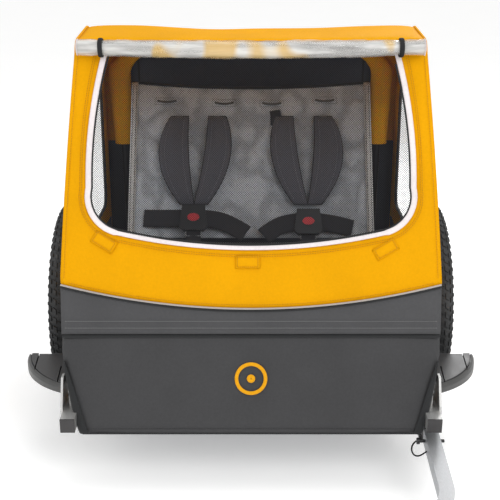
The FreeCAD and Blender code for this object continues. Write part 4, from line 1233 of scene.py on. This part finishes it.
def sleeves():
    """Flat yellow sleeves that hold the rear hoop's legs in their upper half."""
    low, high = box("rear_hoop")
    foot_y, foot_z = 0.700, 0.165
    lean = (foot_y - (low.y + 0.010)) / (high.z - 0.010 - foot_z)
    for side, sign in SIDES.items():
        rows = []
        for n in range(31):
            z = 0.484 + 0.200 * n / 30
            wide = 0.0195 + 0.0060 * n / 30
            inward = 0.030 * max(0.0, (z - 0.645) / 0.04) ** 2
            home = Vector((sign * (high.x - 0.006 - inward), foot_y - (z - foot_z) * lean, z))
            flare = 1.0 + 0.05 * math.sin(n * 1.7) + (0.08 if n == 0 else 0)
            rows.append([home + ACROSS * (wide * math.cos(a)) +
                         Vector((0, 0.0118 * flare * math.sin(a) +
                                 noise.noise(Vector((math.cos(a) * 2, z * 22, sign))) * 0.0016, 0))
                         for a in turns(28)])
        item = grid(side + "_rear_hoop_sleeve", rows, "yellow", uv_xz, wrap=True)
        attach(item, "rear_frame")


# ---- camera, light and floor -----------------------------------------------------------------

def camera():
    data = bpy.data.cameras.new("camera")
    data.lens, data.sensor_width = 72.0, 36.0
    item = placed("camera", data)
    item.location = (-0.0018, -1.55, 1.0)
    item.rotation_euler = (math.radians(90 - 19.3), 0, 0)
    bpy.context.scene.camera = item


def area_light(name, place, aim, size, watts):
    data = bpy.data.lights.new(name, "AREA")
    data.energy, data.size = watts, size
    item = placed(name, data)
    item.location = place
    item.rotation_euler = (Vector(aim) - Vector(place)).to_track_quat("-Z", "Y").to_euler()


def studio():
    """A pale floor under a white sky, with four soft lights."""
    world = bpy.data.worlds.new("studio")
    world.use_nodes = True
    world.node_tree.nodes["Background"].inputs["Color"].default_value = (1.0, 1.0, 1.0, 1)
    world.node_tree.nodes["Background"].inputs["Strength"].default_value = 0.72
    bpy.context.scene.world = world
    floor = bpy.data.meshes.new("floor")
    floor.from_pydata([(30.0 * u, 30.0 * v, 0) for u, v in CORNERS], [], [(0, 1, 2, 3)])
    s = Shader("pale_floor", 0.8)
    s.colour(s.ramp(s.noise(3.0), (0.90, 0.90, 0.895), (0.92, 0.92, 0.915)))
    s.main.inputs["Emission Color"].default_value = (1, 1, 1, 1)
    s.main.inputs["Emission Strength"].default_value = 0.30
    floor.materials.append(s.material)
    placed("floor", floor)
    area_light("key", (1.6, -2.4, 2.6), (0, 0.3, 0.4), 1.8, 42)
    area_light("fill", (-2.2, -1.8, 1.8), (0, 0.3, 0.4), 2.2, 16)
    area_light("top", (0.2, 0.8, 3.2), (0, 0.4, 0.4), 2.0, 22)
    area_light("kicker", (0.95, 2.2, 1.25), (0.39, 0.15, 0.165), 0.7, 14)
    bpy.context.scene.view_settings.view_transform = "Standard"


# The CAD pieces that show, by material.
CAD_FINISH = {
    "silver": "left_rail right_rail front_floor_crossbar rear_floor_crossbar bumper_brackets "
              "front_hinge_brackets",
    "black": "front_end_caps rear_end_caps seat_frame arm_root left_release_button right_release_button",
    "dark": "floor_pan",
    "steel": "axle_brackets axles rear_hinge_brackets hinge_pins tow_bracket tow_pivot_pin frame_bolts "
             "hitch_head hitch_pin axle_plate left_spokes right_spokes",
    "hoop": "front_hoop rear_hoop",
    "arm": "tow_arm",
    "elastic": "flex_connector",
    "gloss": "lock_pin left_buckle right_buckle",
    "red": "left_buckle_button right_buckle_button",
    "rim": "left_rim right_rim left_hub right_hub",
}


def finish_nodes():
    for material, nodes in CAD_FINISH.items():
        for node in nodes.split():
            data = NODES[node].data
            data.materials.clear()
            data.materials.append(M[material])
            for face in data.polygons:
                face.material_index = 0


camera()
studio()
finish_nodes()
lanyard()
front_cover()
patches()
window_trim()
grey_front()
roof()
sides()
rear()
sleeves()
rain_roll()
seat_back()
seat_cushion()
harness()
for SIDE, SIGN in SIDES.items():
    tyre(SIDE)
    guard(SIDE, SIGN)
